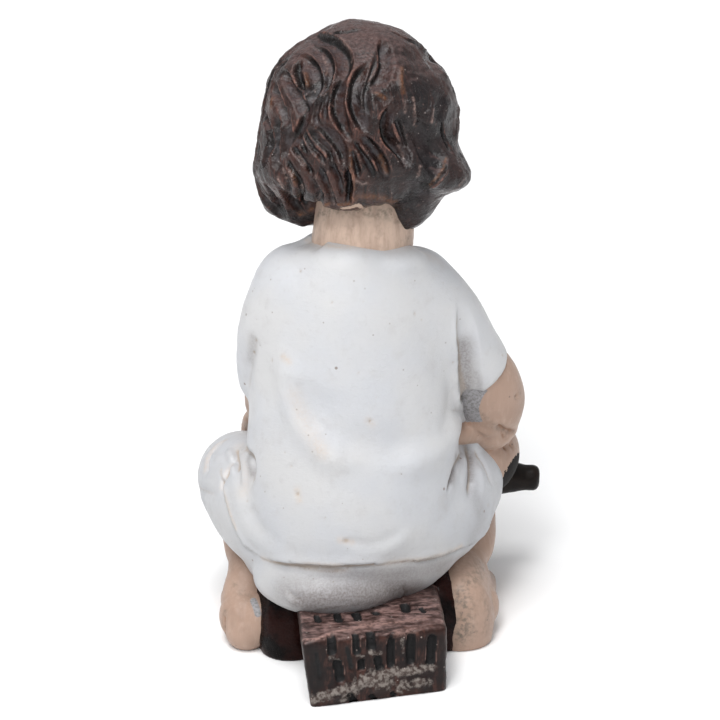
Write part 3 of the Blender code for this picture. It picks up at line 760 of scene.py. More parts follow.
# Folds that the camera sees: kind, half width, height, and path.
SEEN_FOLDS = [
    ("fold", 2.3, 1.05, [(282, 335), (286, 372), (294, 408), (311, 440), (338, 460), (372, 466)]),
    ("fold", 2.3, 1.00, [(372, 466), (402, 465), (430, 457), (447, 440), (456, 412), (460, 384)]),
    ("fold", 3.0, -0.80, [(302, 372), (313, 402), (332, 430), (360, 444), (400, 446), (430, 434)]),
    ("fold", 2.0, -0.9, [(304, 238), (316, 240), (328, 243)]),
    ("fold", 1.3, -0.45, [(291, 372), (300, 402), (312, 421), (328, 431)]),
    ("fold", 0.9, 0.15, [(316, 415), (322, 422), (330, 429)]),
    ("fold", 1.6, -0.30, [(446, 350), (452, 385), (446, 420), (436, 446)]),
    ("fold", 1.6, 0.55, [(234, 462), (237, 490), (243, 515), (254, 533), (270, 546), (290, 554)]),
    ("fold", 1.6, -0.55, [(246, 500), (252, 522), (264, 536), (282, 545)]),
    ("lap", 1.1, 0.50, [(221, 466), (224, 490), (229, 510), (236, 529), (247, 547), (262, 558)]),
    ("lap", 1.1, 0.70, [(262, 558), (279, 561.5), (307, 564), (335, 565.5), (355, 564), (395, 562)]),
    ("lap", 1.1, 0.55, [(395, 562), (431, 558), (455, 550), (475, 541), (488, 526), (495, 505)]),
    ("fold", 0.35, -0.30, [(291, 564.5), (315, 569), (340, 570.5), (352, 566)]),
    ("fold", 1.5, 0.30, [(345, 548), (375, 551), (400, 541), (418, 524)]),
    ("fold", 1.0, -0.28, [(340, 540), (352, 543), (372, 545), (392, 537), (403, 527)]),
    ("fold", 0.55, -0.80, [(206, 478), (208, 462), (214, 449), (226, 440)]),
    ("fold", 0.60, -0.75, [(221, 496), (224, 480), (232, 466), (238, 456)]),
    ("fold", 0.60, -0.95, [(246, 444), (251, 457), (253, 474), (250, 489)]),
    ("fold", 0.75, 0.75, [(241, 448), (245, 462), (246, 478), (243, 492)]),
    ("fold", 0.70, 0.60, [(228, 448), (233, 462), (234, 478)]),
    ("fold", 0.45, -0.50, [(236, 446), (239, 460), (239, 476)]),
    ("fold", 0.50, -0.80, [(460, 452), (456, 466), (451, 482), (446, 496)]),
    ("fold", 0.60, -0.80, [(463.5, 440), (469, 454), (471, 468), (470.5, 485), (467, 500)]),
    ("fold", 0.50, -0.55, [(473, 446), (482, 460), (488.5, 473), (492, 488)]),
    ("fold", 0.80, 0.45, [(462, 452), (463, 470), (460, 488)]),
    ("fold", 0.80, 0.40, [(477, 464), (482, 482), (481, 500)]),
    ("fold", 0.80, -0.45, [(257, 334), (253, 352), (249, 374), (248, 394)]),
    ("gouge", 1.50, 1.40, [(460, 300), (464, 328), (467, 356), (468, 384), (467, 412)], -1),
    ("fold", 0.30, -0.45, [(461, 402), (468, 401), (475, 398)]),
    ("fold", 0.35, -0.30, [(286, 586), (291, 594), (300, 600), (298, 590)]),
    ("fold", 0.35, 0.30, [(283, 592), (289, 600), (297, 605)]),
    ("fold", 0.30, -0.35, [(401, 584), (405, 592), (404, 600)]),
]

# Plain folds of the cloth between the knees and on the front: half width, height and places above the seat.
FRONT_FOLDS = [
    ("fold", width, height, [tuple(seat(*place)) for place in path])
    for width, height, path in (
        (1.6, 0.7, ((-9, 12, 26), (-4, 15.6, 15), (3, 17, 9))),
        (1.6, 0.7, ((9, 12, 26), (7, 15, 16), (3, 17, 9))),
        (1.2, -0.6, ((-2, 13, 30), (0, 15, 20), (2, 16.6, 12))),
        (0.9, -0.6, ((-11, 16, 14), (-5, 17, 8), (2, 18, 5))),
        (1.0, 0.5, ((-20, 2, 17), (-22, 8, 15), (-22, 13, 12))),
        (0.8, -0.5, ((-21, -2, 13), (-24, 5, 11), (-24, 11, 9))),
        (0.8, -0.5, ((-15, 16, 17), (-19, 17, 12), (-18, 17, 6))),
    )
]

# Small pits: the place seen and the size, of which width and depth are shares.
PIT_WIDTH, PIT_DEPTH, DOT_WIDTH = 0.75, 0.8, 0.8
PITS = [
    (272, 360, 0.35), (300, 271, 0.35), (370, 421, 0.40), (377, 398, 0.25), (297, 494, 0.5),
    (291, 466, 0.3), (346, 541, 0.5), (503, 355, 0.4), (415, 314, 0.35), (332, 303, 0.3),
    (363, 301, 0.2), (256, 340, 0.4), (359, 373, 0.2), (254, 352, 0.35), (453, 363, 0.25),
    (285, 452, 0.2), (488, 505, 0.35), (247, 501, 0.3), (422, 320, 0.2), (345, 490, 0.15),
    (325, 518, 0.2), (395, 558, 0.2), (443, 283, 0.2), (471, 463, 0.25),
]


# Where sleeve and back flow into one another.
SHOULDERS = [
    (tuple(seat(11.5, -5, 45)), 9.0),
    (tuple(seat(14.0, -5, 37)), 6.5),
    (tuple(seat(-11.5, -5, 45)), 9.0),
    (tuple(seat(-13.5, -4, 37)), 6.5),
]


def make_tunic():
    coarse = fuse("tunic_form", trunk() + sleeves() + thighs(), 0.7, 3)
    places = points_of(coarse)
    eased = spread(coarse, places, 60)
    share = np.zeros(len(places))
    for centre, reach in SHOULDERS:
        distance = np.linalg.norm(places - np.array(centre), axis=1)
        share = np.maximum(share, np.exp(-((distance / reach) ** 4)))
    move_to(coarse, places + (eased - places) * share[:, None])
    tunic = fuse("tunic", [coarse], 0.34, 3)
    cut_at_ground(tunic)
    carve(tunic, SEEN_FOLDS + FRONT_FOLDS)
    tree = tree_of(tunic)
    places, normals = points_of(tunic), normals_of(tunic)
    sunk = np.zeros(len(places))
    dots = np.zeros(len(places))
    for u, v, size in PITS:
        width = size * PIT_WIDTH
        middle = seen(tree, u, v)
        if middle is not None:
            distance = np.linalg.norm(places - np.array(middle), axis=1)
            sunk -= PIT_DEPTH * width * np.exp(-((distance / width) ** 2))
            dots = np.maximum(dots, np.exp(-((distance / (DOT_WIDTH * width)) ** 2)))
    sunk += 0.06 * rough(places, 3.5, 3) + 0.025 * rough(places, 1.1, 4)
    move_to(tunic, places + normals * sunk[:, None])
    attribute(tunic, "hollow", hollowness(tunic, 10) * 8)
    attribute(tunic, "dots", dots)
    attribute(tunic, "height", places[:, 2])
    keep_stains(tunic, ochre=OCHRE, grime=GRIME_AND_SHADE)
    return tunic


# Ochre stains of the tunic, and its dark marks of dirt and painted shade: half width, strength and path.
OCHRE = [
    (1.3, 0.40, [(294, 395), (300, 412), (308, 430), (318, 448)]),
    (1.2, 0.60, [(318, 445), (322, 452)]),
    (0.5, 0.8, [(283, 357), (289, 362)]),
    (0.5, 0.6, [(205, 470), (209, 456), (216, 445), (226, 440)]),
    (0.5, 0.5, [(222, 488), (226, 474), (232, 466)]),
    (0.3, 0.7, [(221, 470), (226, 500), (236, 529)]),
    (0.5, 0.8, [(308, 240), (325, 245), (345, 247), (375, 247), (400, 246), (412, 243)]),
    (1.4, 0.35, [(405, 246), (435, 258), (460, 275)]),
    (0.35, 0.9, [(262, 558), (307, 564), (335, 565.5), (395, 562), (431, 558), (462, 546)]),
    (0.35, 0.6, [(291, 565), (315, 569.5), (340, 571), (352, 566)]),
    (0.5, 0.7, [(340, 540), (352, 542)]),
    (0.6, 0.6, [(297, 490), (299, 500)]),
    (1.2, 0.35, [(240, 446), (246, 470), (243, 492)]),
    (0.6, 0.5, [(368, 420), (372, 424)]),
]

# Dirt and painted shade: the shadow along the timber, in the recess beside the right sleeve and in the
# creases.
GRIME_AND_SHADE = [
    (3.2, 0.9, [(302, 603), (330, 598), (370, 594), (410, 590), (440, 588)]),
    (0.8, 0.9, [(306, 612), (330, 608), (370, 603), (410, 598), (430, 595)]),
    (3.0, 0.55, [(285, 592), (300, 590), (350, 580), (410, 575), (440, 568)]),
    (1.6, 0.7, [(464, 345), (466, 365), (468, 385), (468, 402)]),
    (0.16, 0.8, [(290, 562), (307, 564.5), (335, 566), (352, 565), (395, 562.5), (425, 559.5)]),
    (0.14, 0.6, [(425, 559), (445, 554), (462, 548), (478, 540)]),
    (0.16, 0.7, [(300, 567), (320, 570), (338, 571), (350, 567)]),
    (0.16, 0.5, [(245, 546), (262, 558), (279, 561.5)]),
    (1.5, 0.75, [(466, 404), (470, 412), (470, 420)]),
    (1.0, 0.5, [(474, 372), (478, 384), (474, 396)]),
    (0.8, 0.8, [(456, 458), (451, 480)]),
    (0.8, 0.7, [(464, 441), (470, 458), (470, 480)]),
    (1.8, 0.3, [(470, 490), (480, 520), (470, 545)]),
    (0.7, 0.6, [(250, 455), (253, 474)]),
    (1.0, 0.35, [(253, 338), (251, 360)]),
]


# Lines of the face, in the head's own frame.
LID_EDGE = ((2.4, 11.2, -2.5), (3.6, 11.7, -2.95), (5.0, 11.4, -2.9), (6.1, 10.6, -2.3))
LID_FOLD = ((2.6, 11.0, -0.6), (4.2, 11.2, -0.2), (6.0, 10.4, -0.7))
MOUTH = ((-2.2, 11.4, -8.2), (-1.0, 12.0, -8.4), (0, 12.1, -8.3), (1.0, 12.0, -8.4), (2.2, 11.4, -8.2))


def make_skin():
    """Neck, head, arms and hands, the bare knee, the shins and the feet."""
    matrix = head_matrix()

    def at(x, y, z):
        return matrix @ Vector((x, y, z))

    tilt = (-HEAD_BOW, 0, -HEAD_TURN)
    forms = [
        loft(
            "neck",
            on_seat(
                (0.8, -1.0, 50.0, 8.2, 7.0), (1.5, -0.6, 56.0, 7.9, 6.6),
                (1.9, 0.6, 62.0, 7.5, 6.6), (1.9, 2.0, 68.0, 7.0, 6.8),
            ),
        ),
        blob("skull", at(0, 0.5, 0), (11.6, 12.2, 12.2), tilt),
        blob("jaw", at(0, 3.4, -7.2), (8.8, 8.4, 7.2), tilt),
        blob("chin", at(0, 9.0, -12.0), (3.0, 2.6, 2.4), tilt),
        blob("nose", at(0, 12.3, -4.6), (1.5, 1.7, 1.3), tilt),
        blob("nose_bridge", at(0, 11.5, -2.2), (1.1, 1.4, 3.0), tilt),
        blob("upper_lip", at(0, 10.9, -7.7), (2.3, 1.2, 0.75), tilt),
        blob("lower_lip", at(0, 10.6, -9.0), (1.9, 1.2, 0.8), tilt),
        blob("forehead", at(0, 8.2, 3.4), (6.4, 4.0, 4.4), tilt),
    ]
    for side in (-1, 1):
        forms.append(blob("cheek", at(side * 4.9, 7.8, -6.2), (3.8, 3.6, 3.8), tilt))
        forms.append(blob("eyelid", at(side * 4.3, 10.3, -1.9), (2.0, 1.4, 1.25), tilt))
        forms.append(blob("nostril", at(side * 1.15, 12.0, -5.1), (0.8, 1.0, 0.75), tilt))
    forms += right_arm() + left_arm() + legs() + [filling_form(1, 3.6), skin_under_sleeve()]
    forms.append(blob("left_heel", ground(-15.9, -6.2, 4.0), (3.8, 4.2, 4.4)))
    forms.append(blob("left_heel_side", ground(-18.5, -4.8, 4.2), (3.7, 4.2, 4.3)))
    forms.append(blob("right_heel", ground(18.3, -5.4, 4.2), (4.6, 4.8, 4.5)))
    skin = fuse("skin", forms, 0.37, 2)
    cut_at_ground(skin)

    def line(points, side=1):
        return [tuple(at(side * x, y, z)) for x, y, z in points]

    lids = []
    for side in (-1, 1):
        lids.append(("fold", 0.32, -0.28, line(LID_EDGE, side)))
        lids.append(("fold", 0.35, -0.18, line(LID_FOLD, side)))
    lids.append(("fold", 0.30, -0.35, line(MOUTH)))
    creases = [
        ("fold", 0.45, -0.90, [(496, 424), (505, 431), (515, 431)]),
        ("fold", 0.45, -0.60, [(498, 426), (503, 436), (506, 448), (505, 462)]),
        ("fold", 0.40, -0.40, [(509, 433), (511, 445), (509, 456)]),
        ("fold", 0.8, 0.35, [(466, 428), (480, 430), (494, 436)]),
        ("fold", 0.40, -0.25, [(514, 398), (518, 394)]),
        ("fold", 0.30, -0.45, [(225, 613), (224, 624), (226, 636)]),
        ("fold", 0.8, 0.30, [(232, 605), (240, 618), (240, 634)]),
        ("fold", 1.2, -0.35, [(464, 590), (456, 610), (455, 630)]),
    ]
    carve(skin, lids + creases)
    places = points_of(skin)
    uneven = 0.05 * rough(places, 2.5, 5) + 0.02 * rough(places, 0.8, 6)
    inverse = matrix.inverted()
    local = np.array([tuple(inverse @ Vector(p)) for p in places])
    on_face = (local[:, 1] > 4) & (local[:, 2] > -16) & (np.abs(local[:, 0]) < 11)
    uneven[on_face] *= 0.3
    move_to(skin, places + normals_of(skin) * uneven[:, None])
    attribute(skin, "hollow", hollowness(skin, 8) * 8)
    keep_stains(skin, grime=SKIN_GRIME_AND_SHADE)
    attribute(skin, "black", right_of(skin, BLACK_BORDER))
    under_sleeve = right_of(skin, CLOTH_LEFT) - right_of(skin, CLOTH_RIGHT)
    under_sleeve *= places[:, 1] < CLOTH_FRONT
    attribute(skin, "cloth", np.maximum(stain(skin, SKIN_PALE), under_sleeve))
    attribute(skin, "face", on_face.astype(float))
    attribute(skin, "height", places[:, 2])
    place_attribute(skin, "head_place", local)
    return skin


# Dark marks of the skin, dirt and painted shade under the hair's hem, in creases and beside the left heel:
# half width, strength and path.
SKIN_GRIME_AND_SHADE = [
    (0.9, 0.8, [(318, 214), (335, 210), (352, 208), (370, 212), (392, 214), (404, 222)]),
    (0.5, 0.6, [(312, 214), (316, 228), (311, 240)]),
    (0.5, 0.7, [(308, 240), (316, 236)]),
    (0.35, 0.8, [(497, 425), (505, 431), (514, 431)]),
    (0.35, 0.7, [(503, 436), (506, 448)]),
    (0.45, 0.6, [(480, 412), (490, 422), (498, 430)]),
    (2.2, 0.9, [(462, 596), (461, 612), (460, 634)]),
    (1.8, 0.6, [(468, 584), (476, 575), (482, 566)]),
    (1.2, 0.45, [(484, 596), (488, 612), (486, 630)]),
    (1.0, 0.6, [(470, 620), (474, 632)]),
    (0.6, 0.7, [(225, 613), (224, 624), (226, 636)]),
    (0.9, 0.5, [(236, 585), (250, 598), (257, 606)]),
    (0.5, 0.6, [(516, 397), (520, 392)]),
    (0.7, 0.5, [(384, 216), (390, 218)]),
    (0.6, 0.5, [(405, 240), (410, 236)]),
]

# Where the dark paint of the mallet ends on the hand, and the cloth that shows under the sleeve, which
# lies behind CLOTH_FRONT and is painted a darker grey as painted shade.
BLACK_BORDER = [(519, 452), (513, 459), (507, 468), (503, 476), (500, 484), (498, 492), (497, 504)]
CLOTH_LEFT = [(455, 389), (455, 422)]
CLOTH_RIGHT = [(489, 389), (484, 395), (481, 401), (479, 408), (480, 415), (483, 422)]
CLOTH_FRONT = 1.5
SKIN_PALE = [(0.7, 0.9, [(253, 600), (256, 607), (258, 614)])]

MALLET_HEAD_DIAMETER, MALLET_HEAD_LENGTH = 7.8, 14.0
HANDLE_DIAMETER, HANDLE_LENGTH, HANDLE_HEAD_TO_FIST = 4.3, 30.6, 10.8
COLLAR_DIAMETER, COLLAR_LENGTH, COLLAR_TO_BUTT, COLLAR_END_SHARE = 6.6, 6.0, 2.2, 0.98
MALLET_HEAD = seat(2.6, 19.4, 0) + UP * (MALLET_HEAD_LENGTH / 2 - 0.3)
HANDLE_AXIS = Vector((0.99, -0.08, -0.06)).normalized()
HANDLE_ACROSS = FRONT.cross(HANDLE_AXIS).normalized()
HANDLE_OUT = HANDLE_AXIS.cross(HANDLE_ACROSS)
FIST = MALLET_HEAD + HANDLE_AXIS * HANDLE_HEAD_TO_FIST


def right_arm():
    forms = [
        loft(
            "right_upper_arm",
            on_seat(
                (16.6, -0.2, 37.0, 4.4), (20.4, 1.6, 30.0, 5.8), (22.3, 3.0, 25.2, 5.7),
                (22.8, 4.2, 20.8, 4.4),
            ),
        ),
        loft(
            "right_forearm",
            on_seat(
                (22.6, 4.0, 20.6, 4.1), (20.2, 9.6, 20.8, 3.9), (16.8, 14.6, 17.4, 3.4),
                (14.4, 17.6, 13.0, 2.6),
            ),
        ),
        blob("right_palm", FIST + UP * 1.6, (3.3, 3.0, 3.2)),
    ]
    for row in range(4):
        place = FIST + HANDLE_AXIS * (row - 1.5) * 1.75
        knuckle = place - HANDLE_ACROSS * 3.0 + HANDLE_OUT * 1.6
        bend = place + HANDLE_ACROSS * 0.4 + HANDLE_OUT * 3.7
        tip = place + HANDLE_ACROSS * 3.4 + HANDLE_OUT * 1.2
        forms.append(finger(f"right_finger_{row}", [knuckle, bend, tip], 1.1))
    return forms


def skin_under_sleeve():
    """The bit of forearm that shows between the sleeve's hem and the thigh."""
    return loft(
        "skin_under_sleeve",
        on_seat(
            (15.2, -0.8, 21.4, 1.9, 1.9), (18.2, 1.2, 20.9, 2.3, 2.3), (21.0, 3.2, 21.0, 3.0, 3.0),
        ),
        front=UP,
    )


def left_arm():
    forms = [
        loft(
            "left_upper_arm",
            on_seat(
                (-12.4, 1.0, 38.0, 4.4), (-12.3, 3.6, 31.0, 4.6), (-12.6, 7.2, 25.6, 4.0),
            ),
        ),
        loft(
            "left_forearm",
            on_seat(
                (-12.6, 7.2, 25.2, 4.0), (-12.2, 10.6, 22.8, 3.7), (-12.0, 14.0, 20.9, 2.8),
            ),
        ),
        blob("left_palm", seat(-12.2, 16.2, 19.2), (3.4, 3.6, 1.9), (-32, 0, 4)),
    ]
    for row in range(4):
        x = -14.9 + row * 1.75
        reach = 1.0 if row in (1, 2) else 0.0
        points = [
            seat(x, 17.0, 18.2),
            seat(x - 0.1, 19.6 + 0.4 * reach, 15.8),
            seat(x - 0.1, 20.9 + 0.4 * reach, 13.0 - 0.6 * reach),
        ]
        forms.append(finger(f"left_finger_{row}", points, 1.05))
    thumb = [seat(-9.6, 14.8, 20.0), seat(-8.0, 16.4, 18.8), seat(-7.4, 18.0, 17.2)]
    forms.append(finger("left_thumb", thumb, 1.1))
    return forms


# Each leg: its side, the knee's place, and how far out ankle, heel, ball and toes are.
LEGS = (
    ("left", -1, 15.4, 6.4, 16.8, 18.0, 16.8, 16.2),
    ("right", 1, 18.7, 9.0, 18.2, 18.6, 19.8, 20.6),
)


def legs():
    forms = [
        loft(
            "right_knee",
            on_seat(
                (15.4, 4.0, 10.4, 6.8), (20.8, 9.8, 12.8, 7.3), (21.4, 12.2, 11.6, 6.9),
            ),
            front=UP,
        )
    ]
    for name, side, knee_x, knee_z, ankle_x, heel_x, ball_x, toe_x in LEGS:
        forms.append(
            loft(
                f"{name}_calf",
                [
                    station(seat(side * knee_x, 10.6, knee_z), 5.6),
                    station(seat(side * (knee_x + 0.2), 4.0, 0.6), 4.8),
                    station(ground(side * ankle_x, 0.2, 9.4), 3.5),
                    station(ground(side * heel_x, -2.6, 6.6), 3.5),
                    station(ground(side * heel_x, -5.2, 4.2), 3.5),
                ],
            )
        )
        forms.append(
            loft(
                f"{name}_foot",
                [
                    station(ground(side * heel_x, -6.6, 2.6), 3.5, 3.4),
                    station(ground(side * (heel_x + ball_x) / 2, -1.0, 2.9), 3.7, 3.8),
                    station(ground(side * ball_x, 5.0, 2.3), 4.3, 3.0),
                    station(ground(side * toe_x, 9.0, 1.7), 4.1, 2.2),
                ],
                front=UP,
            )
        )
        for toe in range(5):
            x = side * (toe_x - 3.2 + 1.65 * toe)
            y = 12.6 - 0.25 * toe**1.6
            size = 1.55 if toe == 0 else 1.15 - 0.05 * toe
            forms.append(blob(f"{name}_toe_{toe}", ground(x, y, size * 0.8), (size, size * 1.5, size)))
    return forms


def filling_form(side, out=0.0):
    return loft(
        f"filling_{side}",
        [
            station(ground(side * (12.6 + out), -8.6, 3.2), 5.4, 8.6),
            station(ground(side * (12.8 + out), -2.0, 3.6), 6.0, 9.6),
            station(ground(side * (13.0 + out), 6.0, 3.6), 5.6, 9.0),
        ],
        front=UP,
    )


def make_filling():
    filling = cut_at_ground(fuse("dark_filling", [filling_form(-1, -1.5), filling_form(1, -0.2)], 0.45, 3))
    roughen(filling, (0.16, 2.6, 8), (0.06, 0.9, 9))
    cut_at_ground(filling)
    attribute(filling, "hollow", hollowness(filling, 5) * 8)
    return filling


TIMBER_WIDTH, TIMBER_HEIGHT, TIMBER_LENGTH = 22.6, 11.0, 54.0
TIMBER_BEHIND_SEAT, TIMBER_END_SKEW, TIMBER_LEFT_LEAN, TIMBER_YAW, TIMBER_OFFSET = 28.0, 4.2, 1.4, 3.0, 1.3


def timber_place(x, y, z):
    askew = TIMBER_END_SKEW * x / TIMBER_WIDTH * (1 - y / TIMBER_LENGTH)
    lean = TIMBER_LEFT_LEAN * (0.5 - x / TIMBER_WIDTH) * (1 - z / TIMBER_HEIGHT)
    yaw = Matrix.Rotation(-math.radians(TIMBER_YAW), 4, "Z")
    return yaw @ Vector((x + lean + TIMBER_OFFSET, y + askew - TIMBER_BEHIND_SEAT, z))


# The knife cuts on the timber's rear end and along the cloth, as seen: half width, depth and path.
SEEN_CUTS = [
    (0.80, 0.95, [(330, 634), (332, 645), (333, 657)]),
    (0.78, 0.85, [(336, 659), (339, 670), (341, 684)]),
    (0.66, 0.90, [(354, 632), (356, 643), (358, 657)]),
    (0.66, 0.80, [(361, 659), (362, 671)]),
    (0.80, 0.95, [(369, 630), (371, 641), (373, 652)]),
    (0.70, 0.85, [(377, 656), (379, 664), (381, 672)]),
    (0.66, 1.05, [(390, 630), (391, 645), (391, 658), (391, 670)]),
    (0.78, 1.05, [(411, 630), (411, 645), (411, 657), (411, 667)]),
    (0.82, 1.00, [(433, 633), (432, 646), (431, 657), (430, 668)]),
    (0.40, 0.35, [(316, 650), (318, 664), (321, 680)]),
    (0.45, 0.35, [(346, 644), (349, 656), (353, 672)]),
    (0.70, 0.70, [(348, 692), (352, 699), (356, 706)]),
    (0.55, 0.50, [(370, 694), (376, 702)]),
    (0.50, 0.45, [(391, 692), (396, 698)]),
    (0.55, 0.70, [(316, 614), (319, 622)]),
    (0.65, 0.80, [(336, 612), (340, 622)]),
    (0.70, 0.80, [(355, 611), (359, 620)]),
    (0.70, 0.70, [(373, 611), (380, 615)]),
    (0.75, 1.00, [(404, 602), (407, 613)]),
    (0.50, 0.50, [(420, 606), (425, 613)]),
]

# The ragged band of burrs below the cuts and the worn upper edge: half width, height and path.
BURRS = [
    (1.0, 0.50, [(316, 700), (330, 696), (345, 690), (362, 683), (380, 680)]),
    (1.1, 0.55, [(366, 688), (380, 685), (392, 683)]),
    (1.1, 0.55, [(404, 686), (416, 682), (430, 681)]),
    (0.6, 0.45, [(362, 680), (384, 676), (404, 673), (420, 671), (434, 670)]),
    (0.8, 0.30, [(302, 640), (318, 640), (334, 633), (350, 628)]),
]


def timber_path(*places):
    return [tuple(timber_place(*place)) for place in places]


def make_timber():
    bm = bmesh.new()
    bmesh.ops.create_cube(bm, size=1)
    for vertex in bm.verts:
        x, y, z = vertex.co
        height = TIMBER_HEIGHT if z > 0 else -1.5
        vertex.co = timber_place(x * (TIMBER_WIDTH + 0.3), (y + 0.5) * TIMBER_LENGTH, height) * MM
    block = object_of("timber_form", bm)
    ease = block.modifiers.new("ease", "BEVEL")
    ease.width = 0.9 * MM
    ease.segments = 3
    timber = fuse("timber", [block], 0.28, 2)
    strokes = [("slot", width, depth, path) for width, depth, path in SEEN_CUTS]
    strokes += [("fold", width, height, path) for width, height, path in BURRS]
    rng = np.random.default_rng(11)
    # The same knife on the sides, the front end and the top in front of the figure, more thinly set.
    for step in range(15):
        y = 3 + step * 3.3 + rng.uniform(-0.5, 0.5)
        for x, lean in ((-TIMBER_WIDTH / 2, 0.6), (TIMBER_WIDTH / 2, -0.6)):
            low, high = rng.uniform(1.6, 4.0), rng.uniform(7.4, 9.6)
            strokes.append(("gouge", 0.55, 0.5, timber_path((x, y, low), (x, y + lean, high))))
    for step in range(6):
        x = (step - 2.5) * 3.1
        path = timber_path((x, TIMBER_LENGTH, 3.5), (x, TIMBER_LENGTH, 9.6))
        strokes.append(("gouge", 0.6, 0.6, path))
    for step in range(7):
        x = (step - 3) * 2.7
        start = rng.uniform(40, 44)
        path = timber_path((x, start, TIMBER_HEIGHT), (x, start + rng.uniform(5, 9), TIMBER_HEIGHT))
        strokes.append(("gouge", 0.5, 0.35, path))
    depth, _, _ = carve(timber, strokes, deepest=True)
    roughen(timber, (0.14, 3.4, 12), (0.05, 0.9, 13))
    cut_at_ground(timber)
    attribute(timber, "cut", np.clip(-depth / 0.6, 0, 1))
    attribute(timber, "hollow", hollowness(timber, 4) * 10)
    attribute(timber, "top", smooth_step(0.55, 0.9, normals_of(timber)[:, 2]))
    keep_stains(timber, worn=WORN, shade=SHADE, edge=WORN_AND_LIT_EDGES)
    return timber


# The timber's painted shade, its worn edges with a painted highlight along them, and the plaster that
# shows: half width, strength and path.
SHADE = [
    (1.6, 1.0, [(312, 648), (315, 665), (318, 682)]),
    (0.9, 1.0, [(306, 618), (325, 616), (350, 612), (375, 609), (400, 605), (425, 601)]),
    (0.8, 0.8, [(440, 640), (440, 660), (440, 680)]),
]

WORN_AND_LIT_EDGES = [
    (0.28, 1.0, [(303, 640), (316, 639), (330, 634), (345, 630)]),
    (0.45, 0.7, [(345, 630), (370, 626), (400, 622), (425, 618)]),
    (0.8, 0.6, [(362, 625), (380, 622)]),
    (0.7, 0.6, [(398, 632), (412, 630)]),
]

WORN = [
    (0.9, 0.9, [(314, 700), (328, 696), (340, 690), (352, 686)]),
    (1.2, 1.0, [(346, 696), (360, 686), (374, 682), (390, 684)]),
    (1.0, 0.9, [(362, 678), (380, 674), (400, 673), (420, 670)]),
    (1.0, 0.9, [(398, 688), (412, 684), (428, 681)]),
    (0.7, 0.8, [(420, 668), (434, 668)]),
    (0.45, 0.9, [(330, 657), (338, 659)]),
    (0.5, 0.8, [(356, 655), (364, 656)]),
    (0.5, 0.9, [(370, 653), (380, 654)]),
    (0.4, 0.7, [(402, 640), (403, 652)]),
]


def bar(name, start, end, diameter, edge, end_diameter=None):
    bm = bmesh.new()
    run = end - start
    low, high = diameter / 2 * MM, (end_diameter or diameter) / 2 * MM
    bmesh.ops.create_cone(bm, cap_ends=True, segments=64, radius1=low, radius2=high, depth=run.length * MM)
    rims = [e for e in bm.edges if abs(abs(e.verts[0].co.z - e.verts[1].co.z)) < edge * MM]
    bmesh.ops.bevel(bm, geom=rims, offset=edge * MM, segments=4, affect="EDGES", profile=0.5)
    place = Matrix.Translation((start + end) / 2 * MM)
    bm.transform(place @ run.to_track_quat("Z", "Y").to_matrix().to_4x4())
    return object_of(name, bm)


def make_mallet():
    half = UP * MALLET_HEAD_LENGTH / 2
    butt = MALLET_HEAD + HANDLE_AXIS * HANDLE_LENGTH
    thick = butt - HANDLE_AXIS * (COLLAR_TO_BUTT + COLLAR_LENGTH)
    thin = butt - HANDLE_AXIS * COLLAR_TO_BUTT
    forms = [
        bar("handle", MALLET_HEAD, butt, HANDLE_DIAMETER, 1.1),
        bar("collar", thick, thin, COLLAR_DIAMETER, 0.5, HANDLE_DIAMETER * COLLAR_END_SHARE),
        bar("head", MALLET_HEAD - half, MALLET_HEAD + half, MALLET_HEAD_DIAMETER, 0.8),
    ]
    mallet = fuse("mallet", forms, 0.25, 3)
    roughen(mallet, (0.07, 2.0, 15), (0.03, 0.7, 16))
    attribute(mallet, "hollow", hollowness(mallet, 5) * 8)
    return mallet


# Paints.


